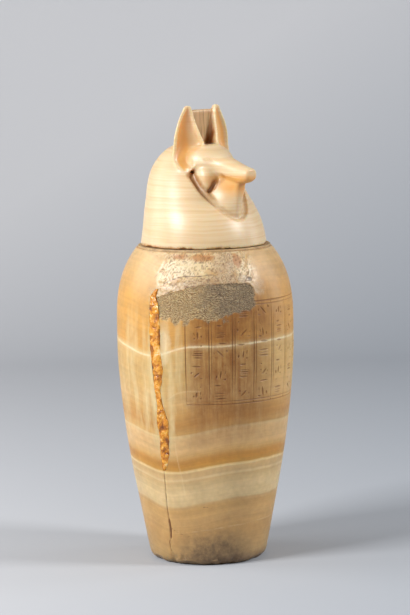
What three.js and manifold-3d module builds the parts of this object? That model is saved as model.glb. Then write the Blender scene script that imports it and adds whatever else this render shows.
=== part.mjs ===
// A canopic jar of banded calcite: a hollow stone jar, a stopper carved as a jackal's head, and the
// amber fill of a long fissure in the jar's side. Millimetres, +Z up. The jackal and the inscription
// face -Y, and the origin is on the underside, at the centre of the foot.
import * as THREE from "three";
import { mergeVertices } from "three/addons/utils/BufferGeometryUtils.js";
import Module from "manifold-3d";

const wasm = await Module();
wasm.setup();

const GAP = 0.3; // clearance between pieces that touch

// ---- Driving dimensions -------------------------------------------------------------------

const jar = {
  height: 279,
  footRadius: 51,
  footRounding: 6,
  shoulderRadius: 78.3,
  shoulderHeight: 204,
  neckRadius: 60, // where the shoulder runs into the collar
  collarRadius: 58.5,
  collarHeight: 2,
  mouthRadius: 38,
  mouthDepth: 15,
  wall: 17,
  floor: 30,
};

const lid = {
  bottom: jar.height + GAP,
  height: 121.6, // rim to the tips of the ears
  faceCut: 73.5, // reach plus rise where the wig is cut off for the face, at 45 degrees
  plugRadius: jar.mouthRadius - 1.5,
  plugDepth: 9,
};

const panel = {
  columns: 7,
  columnAngle: THREE.MathUtils.degToRad(15.1),
  bottom: 147,
  top: 235,
  rows: 5,
  ruleWidth: 1.1,
  strokeWidth: 1.7,
  depth: 0.8,
};

const fissure = {
  azimuth: THREE.MathUtils.degToRad(-73.5), // from the front, towards -X
  depth: 3,
  proud: 0.4,
  // height, how far its middle wanders sideways, width
  course: [
    [86, -0.6, 2],
    [100, 1.8, 8.5],
    [115, 3.2, 9],
    [131, 2.6, 11.5],
    [145, 1.6, 6],
    [158, 0, 5.5],
    [176, 1.2, 11],
    [194, -0.6, 10],
    [212, -0.7, 11],
    [228, -1.5, 9],
    [240, -3.2, 6],
    [247, 0.2, 2.5],
  ],
};

// ---- Helpers ------------------------------------------------------------------------------

const { lerp } = THREE.MathUtils;
const UP = new THREE.Vector3(0, 0, 1);

// A closed geometry as a manifold-3d solid.
function solid(geometry) {
  const bare = new THREE.BufferGeometry()
    .setAttribute("position", geometry.getAttribute("position"))
    .setIndex(geometry.getIndex());
  const merged = mergeVertices(bare, 1e-4);
  return new wasm.Manifold(
    new wasm.Mesh({
      numProp: 3,
      vertProperties: new Float32Array(merged.attributes.position.array),
      triVerts: new Uint32Array(merged.index.array),
    }),
  );
}

// A manifold-3d solid as a named mesh.
function meshOf(made, name, material) {
  const data = made.getMesh();
  const geometry = new THREE.BufferGeometry();
  geometry.setAttribute("position", new THREE.BufferAttribute(data.vertProperties, 3));
  geometry.setIndex(new THREE.BufferAttribute(data.triVerts, 1));
  geometry.computeVertexNormals();
  const mesh = new THREE.Mesh(geometry, material);
  mesh.name = name;
  return mesh;
}

// A solid of revolution about Z from [radius, height] points that start and end on the axis.
function turned(points, segments) {
  const profile = points.map(([radius, height]) => new THREE.Vector2(radius, height));
  return solid(new THREE.LatheGeometry(profile, segments).rotateX(Math.PI / 2));
}

// A closed skin over a row of rings with equal counts of points, closed flat at both ends.
function skin(rings) {
  const sides = rings[0].length;
  const vertices = rings.flat().flatMap((p) => [p.x, p.y, p.z]);
  const faces = [];
  for (let row = 0; row + 1 < rings.length; row += 1) {
    for (let side = 0; side < sides; side += 1) {
      const [a, b] = [row * sides + side, row * sides + ((side + 1) % sides)];
      faces.push(a, b, b + sides, a, b + sides, a + sides);
    }
  }
  // The ends zigzag between the two halves of the ring, so that a crescent closes as well.
  const last = (rings.length - 1) * sides;
  for (let i = 0, j = sides - 1; i + 1 < j; ) {
    faces.push(i, j, i + 1, last + i, last + i + 1, last + j);
    i += 1;
    if (i + 1 < j) {
      faces.push(i, j, j - 1, last + i, last + j - 1, last + j);
      j -= 1;
    }
  }
  const geometry = new THREE.BufferGeometry();
  geometry.setAttribute("position", new THREE.Float32BufferAttribute(vertices, 3));
  geometry.setIndex(faces);
  const made = solid(geometry);
  if (made.volume() > 0) return made;
  geometry.setIndex(faces.reverse()); // the rings ran the other way round
  return solid(geometry);
}

// The head is laid out by reach (forward, -Y), side (the jackal's left, +X) and rise over the rim.
function headPoint(reach, side, rise) {
  return new THREE.Vector3(side, -reach, lid.bottom + rise);
}

// A point on an oval of unit size whose power squares its corners.
function ovalPoint(angle, power) {
  const [c, s] = [Math.cos(angle), Math.sin(angle)];
  return [Math.sign(c) * Math.abs(c) ** (2 / power), Math.sign(s) * Math.abs(s) ** (2 / power)];
}

// Smooth values at evenly spaced places along a table's rows.
function along(rows, steps) {
  const last = rows.length - 1;
  return Array.from({ length: steps + 1 }, (_, step) => {
    const place = (step / steps) * last;
    const i = Math.min(Math.floor(place), last - 1);
    const t = place - i;
    const [a, b, c, d] = [i - 1, i, i + 1, i + 2].map((k) =>
      rows[THREE.MathUtils.clamp(k, 0, last)],
    );
    return b.map((value, k) => {
      const [enter, leave] = [(c[k] - a[k]) / 2, (d[k] - value) / 2];
      const rise = c[k] - value;
      return value + t * (enter + t * (3 * rise - 2 * enter - leave + t * (enter + leave - 2 * rise)));
    });
  });
}

// ---- The jar ------------------------------------------------------------------------------

// The jar's outer radius at a height.
function jarRadius(height) {
  const neck = jar.height - jar.collarHeight;
  if (height > neck) return jar.collarRadius;
  if (height > jar.shoulderHeight) {
    const share = (height - jar.shoulderHeight) / (neck - jar.shoulderHeight);
    return lerp(jar.shoulderRadius, jar.neckRadius, share ** 3);
  }
  const swell = Math.sin((Math.PI / 2) * (height / jar.shoulderHeight) ** 1.05);
  const under = Math.max(0, 1 - height / jar.footRounding);
  const rounding = jar.footRounding * (1 - Math.sqrt(1 - under ** 2));
  return lerp(jar.footRadius, jar.shoulderRadius, swell) - rounding;
}

// A point over the jar's side, at an azimuth from the front towards +X.
function sidePoint(azimuth, height, offset = 0) {
  const radius = jarRadius(height) + offset;
  return new THREE.Vector3(radius * Math.sin(azimuth), -radius * Math.cos(azimuth), height);
}

// The jar's outside as a full body, its side moved outwards by an offset.
function jarBody(offset = 0) {
  const neck = jar.height - jar.collarHeight;
  const foot = [0, 1.2, jar.footRounding];
  const side = [1, 2, 3, 4, 5, 6, 7].map((i) => (jar.shoulderHeight * (i + 0.5)) / 7.5);
  const shoulder = [1, 2, 3, 4, 5, 6].map((i) =>
    lerp(jar.shoulderHeight, neck, (i / 6) ** 0.75),
  );
  const outline = [...foot, ...side, ...shoulder].map((z) => [jarRadius(z) + offset, z]);
  const collar = jar.collarRadius + offset;
  return turned(
    [[0, 0], ...outline, [collar, neck + 0.2], [collar, jar.height - 0.8],
      [collar - 0.8, jar.height], [0, jar.height]],
    52,
  );
}

// The drilled hollow: a rounded floor, walls of even thickness and a narrower mouth.
function hollow() {
  const neck = jar.height - jar.mouthDepth;
  const corner = 14;
  const floorWall = jarRadius(jar.floor + corner) - jar.wall;
  const floorCorner = [0, Math.PI / 4, Math.PI / 2].map((angle) => [
    floorWall - corner * (1 - Math.sin(angle)),
    jar.floor + corner * (1 - Math.cos(angle)),
  ]);
  const walls = [90, 140, 190, 230].map((height) => [jarRadius(height) - jar.wall, height]);
  return turned(
    [[0, jar.floor], ...floorCorner, ...walls, [jar.mouthRadius + 12, neck - 5],
      [jar.mouthRadius, neck], [jar.mouthRadius, jar.height + 1], [0, jar.height + 1]],
    32,
  );
}

// A shallow cut along the jar's side through [azimuth, height] points.
function engraved(path, width) {
  const places = path.map(([azimuth, height]) => sidePoint(azimuth, height));
  const rings = path.map(([azimuth, height], i) => {
    const from = places[Math.max(i - 1, 0)];
    const to = places[Math.min(i + 1, places.length - 1)];
    const outward = new THREE.Vector3(0, -1, 0).applyAxisAngle(UP, azimuth);
    const across = new THREE.Vector3().crossVectors(outward, to.clone().sub(from)).setLength(width / 2);
    return [[-1, -panel.depth], [1, -panel.depth], [1, 3], [-1, 3]].map(([hand, offset]) =>
      sidePoint(azimuth, height, offset).addScaledVector(across, hand),
    );
  });
  return skin(rings);
}

// Rules round and between the columns, and in each column rows of short strokes.
function inscription() {
  const half = (panel.columns * panel.columnAngle) / 2;
  const cuts = [panel.bottom, panel.top].map((height) => {
    const path = Array.from({ length: 15 }, (_, i) => [lerp(-half, half, i / 14), height]);
    return engraved(path, panel.ruleWidth);
  });
  for (let rule = 0; rule <= panel.columns; rule += 1) {
    const azimuth = rule * panel.columnAngle - half;
    const path = [0, 1 / 3, 2 / 3, 1].map((share) => [
      azimuth, lerp(panel.bottom, panel.top, share),
    ]);
    cuts.push(engraved(path, panel.ruleWidth));
  }
  const step = (panel.top - panel.bottom) / panel.rows;
  for (let column = 0; column < panel.columns; column += 1) {
    for (let row = 0; row < panel.rows; row += 1) {
      const azimuth = (column + 0.5) * panel.columnAngle - half;
      const height = panel.bottom + (row + 0.5) * step;
      // An upright, a level or a slanting stroke: half its breadth as an angle, half its rise.
      const [breadth, rise] = [[0, 4.5], [0.085, 0], [0.04, 3.5]][(column + 2 * row) % 3];
      const ends = [-1, 1].map((end) => [azimuth + end * breadth, height + end * rise]);
      cuts.push(engraved(ends, panel.strokeWidth));
    }
  }
  return wasm.Manifold.union(cuts);
}

// The fissure's ragged outline, swept straight in through the jar's side.
function fissureCutter(inset) {
  const last = fissure.course.length - 1;
  const rings = fissure.course.map(([height, wander, width], i) => {
    const end = i === 0 ? inset : i === last ? -inset : 0;
    const half = width / 2 - inset;
    const corner = (across, radius) =>
      new THREE.Vector3(wander + across, -radius, height + end).applyAxisAngle(UP, fissure.azimuth);
    const [inside, outside] = [jarRadius(height) - 12, jarRadius(height) + 12];
    return [corner(-half, inside), corner(half, inside), corner(half, outside),
      corner(-half, outside)];
  });
  return skin(rings);
}

function makeJar() {
  const chase = fissureCutter(0).subtract(jarBody(-fissure.depth));
  return jarBody().subtract(inscription()).subtract(chase).subtract(hollow());
}

function makeFissureFill() {
  return fissureCutter(GAP)
    .intersect(jarBody(fissure.proud))
    .subtract(jarBody(GAP - fissure.depth));
}

// ---- The stopper --------------------------------------------------------------------------

// The smooth wig from the rim up: rise, how far its middle sits back, radius.
const WIG = [
  [0, 0.5, 55.7],
  [12, 0.8, 53.7],
  [22, 2.2, 51.7],
  [32, 5, 48.9],
  [42, 8.5, 45.2],
  [52, 12, 41.8],
  [62, 14.6, 37.6],
  [71, 15.6, 32.6],
  [79, 15.9, 26],
  [85, 16, 17.8],
  [88, 16, 9],
  [89, 16, 2],
];

function wig() {
  const rings = along(WIG, 15).map(([rise, back, radius]) =>
    Array.from({ length: 40 }, (_, i) => {
      const angle = (i / 40) * Math.PI * 2;
      return headPoint(radius * Math.cos(angle) - back, radius * Math.sin(angle), rise);
    }),
  );
  // The wig is cut off on a slope, and the face and throat stand in front of the cut.
  const size = 200;
  const face = new THREE.BoxGeometry(size, size, size)
    .translate(0, -size / 2, 0)
    .rotateX(-Math.PI / 4);
  const cut = headPoint(lid.faceCut, 0, 0);
  return skin(rings).subtract(solid(face.translate(cut.x, cut.y, cut.z)));
}

function plug() {
  const top = lid.bottom + 2;
  const bottom = lid.bottom - lid.plugDepth;
  const edge = 1.5;
  return turned(
    [[0, bottom], [lid.plugRadius - edge, bottom], [lid.plugRadius, bottom + edge],
      [lid.plugRadius, top], [0, top]],
    40,
  );
}

// Skull and muzzle, back to front: reach, rise of the middle, half width, height over and under it.
const SKULL = [
  [-12, 64, 18.5, 19, 14],
  [0, 67.5, 22.5, 19.5, 16],
  [11, 69.5, 22.5, 18.3, 16],
  [20, 69.5, 18.5, 15, 13],
  [27, 69, 14, 11.2, 9],
  [34, 68, 10.8, 9.6, 7.8],
  [43, 66, 9.2, 8.8, 8.8],
  [52, 63.8, 8.2, 8.2, 8.2],
  [59, 63, 7.4, 7.2, 6.8],
  [64, 63.8, 6.2, 5.4, 5.6],
  [65.6, 64.2, 4.6, 3.8, 4.2],
];

function skull() {
  const rings = along(SKULL, 20).map(([reach, middle, width, over, under]) =>
    Array.from({ length: 18 }, (_, i) => {
      const [across, up] = ovalPoint((i / 18) * Math.PI * 2, 2.4);
      return headPoint(reach, across * width, middle + up * (up > 0 ? over : under));
    }),
  );
  return skin(rings);
}

// The jaws as one mass, from their lower edge up: rise, reach of the middle, half length, half width.
const JAWS = [
  [48.8, 22.5, 6.5, 17],
  [52, 21.5, 9, 19.5],
  [58, 19.5, 12, 20.8],
  [63, 17, 13.5, 21.2],
  [68, 13.5, 15, 20],
];

function jaws() {
  const rings = along(JAWS, 8).map(([rise, middle, length, width]) =>
    Array.from({ length: 20 }, (_, i) => {
      const [forward, across] = ovalPoint((i / 20) * Math.PI * 2, 2.8);
      return headPoint(middle + forward * length, across * width, rise);
    }),
  );
  return skin(rings);
}

// The throat, a wedge of stone left under the muzzle: rise, front's reach and half width, then the
// reach and half width where it runs out into the wig.
const THROAT = [
  [26.5, 46.2, 3.2, 42.5, 11],
  [32, 47.2, 3.8, 40.5, 13],
  [40, 49, 4.3, 34, 14],
  [48, 51, 4.7, 28, 13],
  [56, 52.8, 5, 23, 11],
  [63, 53.6, 4.4, 20, 9],
];

function throat() {
  const rings = along(THROAT, 6).map(([rise, front, frontHalf, root, rootHalf]) =>
    [[10, -10], [root, -rootHalf], [front - 1.5, -frontHalf], [front, 1.5 - frontHalf],
      [front, frontHalf - 1.5], [front - 1.5, frontHalf], [root, rootHalf], [10, 10],
    ].map(([reach, side]) => headPoint(reach, side, rise)),
  );
  return skin(rings);
}

// An ear, root to tip: rise, reach and side of its opening's middle, half width, depth of its back,
// depth of its scoop, and how far it opens outwards in degrees.
const EARS = [
  [63.5, 10, 26.5, 3, 5, 0.2, 62],
  [68, 9, 27.2, 7, 9, 1.2, 58],
  [76, 7, 24.2, 12.4, 11, 4, 44],
  [87, 5.6, 20, 14, 10.5, 6, 33],
  [98, 3.8, 20, 11.4, 9, 5.4, 26],
  [109, 1.8, 18.8, 7.8, 7.6, 3.8, 19],
  [117, 1.2, 17.4, 4.8, 6.4, 1.8, 18],
  [120.6, 1, 16.9, 3.2, 5.2, 0.6, 18],
  [lid.height, 1, 16.6, 2, 4, 0.2, 18],
];
const EAR_RIM = 2;

function ear(hand) {
  const rings = along(EARS, 16).map(([rise, reach, side, width, back, scoop, turn]) => {
    const outward = THREE.MathUtils.degToRad(turn);
    // Half an oval behind the opening, from its inner rim round to its outer one.
    const arc = (radius, depth) =>
      Array.from({ length: 8 }, (_, i) => {
        const across = -radius * Math.cos((i / 7) * Math.PI);
        const behind = depth * Math.sin((i / 7) * Math.PI);
        const forward = reach - across * Math.sin(outward) - behind * Math.cos(outward);
        const sideways = side + across * Math.cos(outward) - behind * Math.sin(outward);
        return headPoint(forward, hand * sideways, rise);
      });
    return [...arc(width, back), ...arc(Math.max(0.3, width - EAR_RIM), scoop).reverse()];
  });
  return skin(rings);
}

// The wall of stone left standing between the ears.
function web() {
  const [front, back, half, top, bottom] = [-1, -9, 14, 117.5, 62];
  const middle = headPoint((front + back) / 2, 0, (top + bottom) / 2);
  const block = new THREE.BoxGeometry(2 * half, front - back, top - bottom);
  return solid(block.translate(middle.x, middle.y, middle.z));
}

// A round tool's cut through a row of head points.
function bored(points, radius) {
  const path = new THREE.CatmullRomCurve3(points.map((point) => headPoint(...point)));
  const section = new THREE.Shape().absarc(0, 0, radius, 0, Math.PI * 2);
  return solid(new THREE.ExtrudeGeometry(section, {
    steps: 3 * (points.length - 1), curveSegments: 4, extrudePath: path,
  }));
}

// The cuts on one side: a hole below the ear, a groove along the wig's edge, a pit beside the web
// and a hollow between jowl and throat.
function undercuts(hand) {
  const hole = [[18, hand * 28, 64.5], [4, hand * 15, 66]];
  const groove = [[14, hand * 24.5, 63], [19.5, hand * 24, 54.5], [25.5, hand * 23.5, 47.5],
    [33, hand * 21.5, 40]];
  const pit = [[3, hand * 8, 97], [-2, hand * 7.5, 88]];
  const jowl = [[36, hand * 10, 62], [27, hand * 11.5, 56], [22, hand * 14, 46]];
  return [bored(hole, 2.4), bored(groove, 1.7), bored(pit, 1.6), bored(jowl, 2.4)];
}

function makeLid() {
  const masses = [wig(), plug(), skull(), jaws(), throat(), ear(1), ear(-1), web()];
  const cuts = [...undercuts(1), ...undercuts(-1)];
  return wasm.Manifold.union(masses).subtract(wasm.Manifold.union(cuts));
}

// ---- The object ---------------------------------------------------------------------------

const bandedStone = new THREE.MeshStandardMaterial({ color: 0xd9b27c, roughness: 0.35 });
const paleStone = new THREE.MeshStandardMaterial({ color: 0xe8cf9f, roughness: 0.4 });
const amberFill = new THREE.MeshStandardMaterial({ color: 0xa8661f, roughness: 0.2 });

const canopicJar = new THREE.Group();
canopicJar.add(
  meshOf(makeJar(), "jar", bandedStone),
  meshOf(makeFissureFill(), "fissure_fill", amberFill),
  meshOf(makeLid(), "jackal_lid", paleStone),
);

export default canopicJar;
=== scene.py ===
"""The looks of a canopic jar: banded calcite, a jackal's head for a stopper and an amber fill.

Sizes are millimetres here and metres in the meshes. The jackal faces -Y and +Z is up.
"""
import logging
import math
from dataclasses import dataclass, field
from enum import Enum
from itertools import product
from typing import Any

import bpy
import numpy as np
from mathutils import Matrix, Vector


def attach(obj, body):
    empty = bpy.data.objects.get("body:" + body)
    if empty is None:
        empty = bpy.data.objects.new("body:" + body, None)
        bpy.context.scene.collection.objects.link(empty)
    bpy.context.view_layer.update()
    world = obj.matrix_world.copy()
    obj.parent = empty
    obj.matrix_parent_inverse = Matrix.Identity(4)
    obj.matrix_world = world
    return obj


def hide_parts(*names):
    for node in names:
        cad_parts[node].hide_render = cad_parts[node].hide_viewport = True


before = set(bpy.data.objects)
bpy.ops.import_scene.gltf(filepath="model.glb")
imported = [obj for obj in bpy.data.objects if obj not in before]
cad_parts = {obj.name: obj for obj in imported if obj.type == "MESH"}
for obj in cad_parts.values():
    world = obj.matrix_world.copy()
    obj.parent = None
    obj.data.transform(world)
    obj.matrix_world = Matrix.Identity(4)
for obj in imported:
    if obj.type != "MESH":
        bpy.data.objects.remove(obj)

LOG = logging.getLogger("canopic_jar")
MM = 0.001
GAP = 0.3  # clearance between pieces that touch


# ---- Small helpers ------------------------------------------------------------------------


def linear(code: str, alpha: float = 1.0) -> tuple[float, float, float, float]:
    """An sRGB hex colour as linear values.

    Args:
        code: six hex digits.
        alpha: the fourth value.

    Returns:
        Red, green, blue and alpha.
    """
    parts = [int(code[i : i + 2], 16) / 255 for i in (0, 2, 4)]
    return (*[p / 12.92 if p <= 0.04045 else ((p + 0.055) / 1.055) ** 2.4 for p in parts], alpha)


def add(
    tree: bpy.types.NodeTree,
    kind: str,
    inputs: dict[int | str, Any] | None = None,
    stops: list[tuple[float, str]] | None = None,
    **settings: Any,
) -> bpy.types.Node:
    """Adds one node with its settings, values and links.

    Args:
        tree: the tree it goes in.
        kind: the node's type.
        inputs: values, or sockets to link from, by input name or number.
        stops: a colour ramp's places and sRGB colours.
        settings: the node's own properties.

    Returns:
        The node.
    """
    made = tree.nodes.new(kind)
    for name, value in settings.items():
        setattr(made, name, value)
    for name, value in (inputs or {}).items():
        if isinstance(value, bpy.types.NodeSocket):
            tree.links.new(value, made.inputs[name])
        else:
            made.inputs[name].default_value = value
    if stops:
        elements = made.color_ramp.elements
        for place, _ in stops[2:]:
            elements.new(place)
        for element, (place, code) in zip(elements, stops):
            element.position = place
            element.color = linear(code)
    return made


def smooth(low: float, high: float, value: np.ndarray) -> np.ndarray:
    """An eased step from 0 at low to 1 at high."""
    share = np.clip((value - low) / (high - low), 0, 1)
    return share * share * (3 - 2 * share)


def noise(points: np.ndarray, size: float, seed: int, octaves: int = 1) -> np.ndarray:
    """Smooth noise over points.

    Args:
        points: places in mm, one per row.
        size: the width of its largest lumps in mm.
        seed: which noise.
        octaves: how many finer copies are laid over the first.

    Returns:
        A value from about -1 to 1 for each point.
    """
    total, strength = np.zeros(len(points)), 0.0
    for octave in range(octaves):
        place = points * (2.03**octave / size) + 17.3 * octave
        cell = np.floor(place).astype(np.int64)
        part = place - cell
        part = part**3 * (part * (part * 6 - 15) + 10)
        value = np.zeros(len(points))
        for corner in product((0, 1), repeat=3):
            key = (cell + corner) * [73856093, 19349663, 83492791]
            code = key[:, 0] ^ key[:, 1] ^ key[:, 2] ^ (seed * 2654435761)
            code = (code ^ (code >> 15)) * 2246822519 & 0xFFFFFFFF
            code = (code ^ (code >> 13)) * 3266489917 & 0xFFFFFFFF
            weight = np.where(corner, part, 1 - part).prod(axis=1)
            value += weight * ((code ^ (code >> 16)) / 0x7FFFFFFF - 1)
        total += value * 0.5**octave
        strength += 0.5**octave
    return total / strength * 1.3


def mesh_object(name: str, points: np.ndarray, faces: list[tuple[int, ...]]) -> bpy.types.Object:
    """A linked mesh object.

    Args:
        name: the object's name.
        points: vertices in mm.
        faces: the vertices of each face, facing outwards.

    Returns:
        The object, at the origin.
    """
    mesh = bpy.data.meshes.new(name)
    mesh.from_pydata((np.asarray(points) * MM).tolist(), [], faces)
    made = bpy.data.objects.new(name, mesh)
    bpy.context.scene.collection.objects.link(made)
    return made


def coordinates(piece: bpy.types.Object) -> np.ndarray:
    """The vertices of a piece in mm, one per row."""
    flat = np.empty(len(piece.data.vertices) * 3)
    piece.data.vertices.foreach_get("co", flat)
    return flat.reshape(-1, 3) / MM


def move_to(piece: bpy.types.Object, points: np.ndarray) -> None:
    """Puts the vertices of a piece at new places in mm."""
    piece.data.vertices.foreach_set("co", (points * MM).ravel())
    piece.data.update()


def paint(piece: bpy.types.Object, name: str, values: np.ndarray) -> None:
    """Writes a number per vertex as an attribute that the materials read."""
    layer = piece.data.attributes.new(name, "FLOAT", "POINT")
    layer.data.foreach_set("value", np.asarray(values, dtype=np.float32))


def settle(piece: bpy.types.Object) -> None:
    """Turns a piece and its modifiers into a plain mesh."""
    graph = bpy.context.evaluated_depsgraph_get()
    plain = bpy.data.meshes.new_from_object(piece.evaluated_get(graph))
    before = piece.data
    piece.modifiers.clear()
    piece.data = plain
    bpy.data.meshes.remove(before)


def take_away(piece: bpy.types.Object, cutter: bpy.types.Object) -> None:
    """Cuts a closed mesh out of a piece, and removes the cutter."""
    cut = piece.modifiers.new("cut", "BOOLEAN")
    cut.operation, cut.solver, cut.object = "DIFFERENCE", "MANIFOLD", cutter
    settle(piece)
    bpy.data.objects.remove(cutter)


def rounded(piece: bpy.types.Object, sharpest: float) -> None:
    """Shades a piece smooth except over edges sharper than an angle in degrees."""
    piece.data.shade_smooth()
    piece.data.set_sharp_from_angle(angle=math.radians(sharpest))


def along(rows: list[list[float]], steps: int) -> np.ndarray:
    """Smooth values at evenly spaced places along a table's rows.

    Args:
        rows: the table.
        steps: how many steps from the first row to the last.

    Returns:
        steps + 1 rows.
    """
    table = np.array([rows[0], *rows, rows[-1]], dtype=float)
    place = np.linspace(0, len(rows) - 1, steps + 1)
    first = np.minimum(place.astype(int), len(rows) - 2)
    t = (place - first)[:, None]
    a, b, c, d = (table[first + k] for k in range(4))
    enter, leave, rise = (c - a) / 2, (d - b) / 2, c - b
    return b + t * (enter + t * (3 * rise - 2 * enter - leave + t * (enter + leave - 2 * rise)))


def loft(rings: np.ndarray) -> tuple[np.ndarray, list[tuple[int, ...]]]:
    """A closed skin over rings of equal counts, its ends closed by zigzag strips.

    Args:
        rings: rings of points, as rows, sides and three values.

    Returns:
        The vertices and the faces, facing outwards.
    """
    rows, sides = rings.shape[:2]
    faces: list[tuple[int, ...]] = []
    for row in range(rows - 1):
        for side in range(sides):
            a, b = row * sides + side, row * sides + (side + 1) % sides
            faces.append((a, b, b + sides, a + sides))
    last = (rows - 1) * sides
    i, j = 0, sides - 1
    while i + 1 < j:
        faces += [(i, j, i + 1), (last + i, last + i + 1, last + j)]
        i += 1
        if i + 1 < j:
            faces += [(i, j, j - 1), (last + i, last + j - 1, last + j)]
            j -= 1
    points = rings.reshape(-1, 3)
    corners = np.array([[f[0], f[k], f[k + 1]] for f in faces for k in range(1, len(f) - 1)])
    a, b, c = (points[corners[:, k]] for k in range(3))
    if np.einsum("ij,ij->i", a, np.cross(b, c)).sum() < 0:
        faces = [face[::-1] for face in faces]
    return points, faces


def rail_distance(points: np.ndarray, rail: np.ndarray) -> np.ndarray:
    """The distance in mm from each point to a line through the rail's points."""
    best = np.full(len(points), 1e9)
    for start, end in zip(rail[:-1], rail[1:]):
        way = end - start
        share = np.clip((points - start) @ way / (way @ way), 0, 1)[:, None]
        best = np.minimum(best, np.linalg.norm(points - start - share * way, axis=1))
    return best


# ---- Tool cuts, made with Geometry Nodes --------------------------------------------------


class Tool(Enum):
    """The tools that cut lines in the stone: the tool's radius and how far it is held out."""

    RULE = (0.75, 0.25)
    CHISEL = (1.2, 0.55)
    FINE_RULE = (0.7, 0.3)
    SCRATCH = (0.38, 0.12)


@dataclass(frozen=True)
class CutTree:
    """The node tree that lays tapered round cutters along paths, snapped to a stone's surface."""

    spacing: float = 1.2
    sides: int = 8

    def tree(self) -> bpy.types.NodeTree:
        """The node tree, made once."""
        name = "tool_cuts"
        if name in bpy.data.node_groups:
            return bpy.data.node_groups[name]
        tree = bpy.data.node_groups.new(name, "GeometryNodeTree")
        face = tree.interface
        face.new_socket("Paths", in_out="INPUT", socket_type="NodeSocketGeometry")
        for label, kind in [
            ("Stone", "NodeSocketObject"),
            ("Tool Radius", "NodeSocketFloat"),
            ("Lift", "NodeSocketFloat"),
            ("Point Spacing", "NodeSocketFloat"),
            ("Blunt Ends", "NodeSocketFloat"),
            ("Material", "NodeSocketMaterial"),
        ]:
            face.new_socket(label, in_out="INPUT", socket_type=kind)
        face.new_socket("Cutters", in_out="OUTPUT", socket_type="NodeSocketGeometry")
        given = add(tree, "NodeGroupInput").outputs
        stone = add(tree, "GeometryNodeObjectInfo", {"Object": given["Stone"]},
                    transform_space="ORIGINAL").outputs["Geometry"]
        curve = add(tree, "GeometryNodeMeshToCurve", {"Mesh": given["Paths"]}).outputs[0]
        curve = add(tree, "GeometryNodeResampleCurve",
                    {"Curve": curve, "Length": given["Point Spacing"]}, mode="LENGTH").outputs[0]
        here = add(tree, "GeometryNodeInputPosition").outputs[0]
        near = add(tree, "GeometryNodeProximity", {"Geometry": stone, "Sample Position": here},
                   target_element="FACES").outputs["Position"]
        flat = add(tree, "ShaderNodeVectorMath", {0: near, 1: (1, 1, 0)}, operation="MULTIPLY")
        out = add(tree, "ShaderNodeVectorMath", {0: flat.outputs[0]}, operation="NORMALIZE")
        lift = add(tree, "ShaderNodeVectorMath", {0: out.outputs[0], "Scale": given["Lift"]},
                   operation="SCALE")
        place = add(tree, "ShaderNodeVectorMath", {0: near, 1: lift.outputs[0]})
        curve = add(tree, "GeometryNodeSetPosition",
                    {"Geometry": curve, "Position": place.outputs[0]}).outputs[0]
        # The tool enters and leaves the stone, so a stroke narrows at both ends.
        share = add(tree, "GeometryNodeSplineParameter").outputs["Factor"]
        arch = add(tree, "ShaderNodeMath", {0: share, 1: math.pi}, operation="MULTIPLY")
        arch = add(tree, "ShaderNodeMath", {0: arch.outputs[0]}, operation="SINE")
        arch = add(tree, "ShaderNodeMath", {0: arch.outputs[0], 1: 0.001}, operation="MAXIMUM")
        arch = add(tree, "ShaderNodeMath", {0: arch.outputs[0], 1: 0.45}, operation="POWER")
        arch = add(tree, "ShaderNodeMath", {0: arch.outputs[0], 1: given["Blunt Ends"]},
                   operation="MAXIMUM")
        size = add(tree, "ShaderNodeMath", {0: arch.outputs[0], 1: given["Tool Radius"]},
                   operation="MULTIPLY").outputs[0]
        ring = add(tree, "GeometryNodeCurvePrimitiveCircle",
                   {"Resolution": self.sides, "Radius": 1.0}, mode="RADIUS").outputs[0]
        tube = add(tree, "GeometryNodeCurveToMesh",
                   {"Curve": curve, "Profile Curve": ring, "Scale": size, "Fill Caps": True})
        whole = add(tree, "GeometryNodeRealizeInstances", {"Geometry": tube.outputs[0]})
        done = add(tree, "GeometryNodeSetMaterial",
                   {"Geometry": whole.outputs[0], "Material": given["Material"]})
        add(tree, "NodeGroupOutput", {0: done.outputs[0]})
        return tree

    def cutters(
        self,
        paths: list[np.ndarray],
        stone: bpy.types.Object,
        tool: Tool,
        material: bpy.types.Material,
        blunt: float = 0.25,
    ) -> bpy.types.Object:
        """Cutters along paths over a stone's surface.

        Args:
            paths: points in mm for each stroke, near the surface.
            stone: the piece that they are snapped to.
            tool: which tool.
            material: what a cut face would be made of.
            blunt: the width left at a stroke's ends, as a share.

        Returns:
            One closed mesh per stroke, in one object.
        """
        mesh = bpy.data.meshes.new("cut_paths")
        edges, count = [], 0
        for path in paths:
            edges += [(count + i, count + i + 1) for i in range(len(path) - 1)]
            count += len(path)
        mesh.from_pydata((np.concatenate(paths) * MM).tolist(), edges, [])
        made = bpy.data.objects.new("cut_paths", mesh)
        bpy.context.scene.collection.objects.link(made)
        nodes = made.modifiers.new("cuts", "NODES")
        nodes.node_group = self.tree()
        values = {
            "Stone": stone,
            "Tool Radius": tool.value[0] * MM,
            "Lift": tool.value[1] * MM,
            "Point Spacing": self.spacing * MM,
            "Blunt Ends": blunt,
            "Material": material,
        }
        for socket in nodes.node_group.interface.items_tree:
            if socket.in_out == "INPUT" and socket.name in values:
                nodes[socket.identifier] = values[socket.name]
        settle(made)
        return made


# ---- Finishes -----------------------------------------------------------------------------


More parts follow.
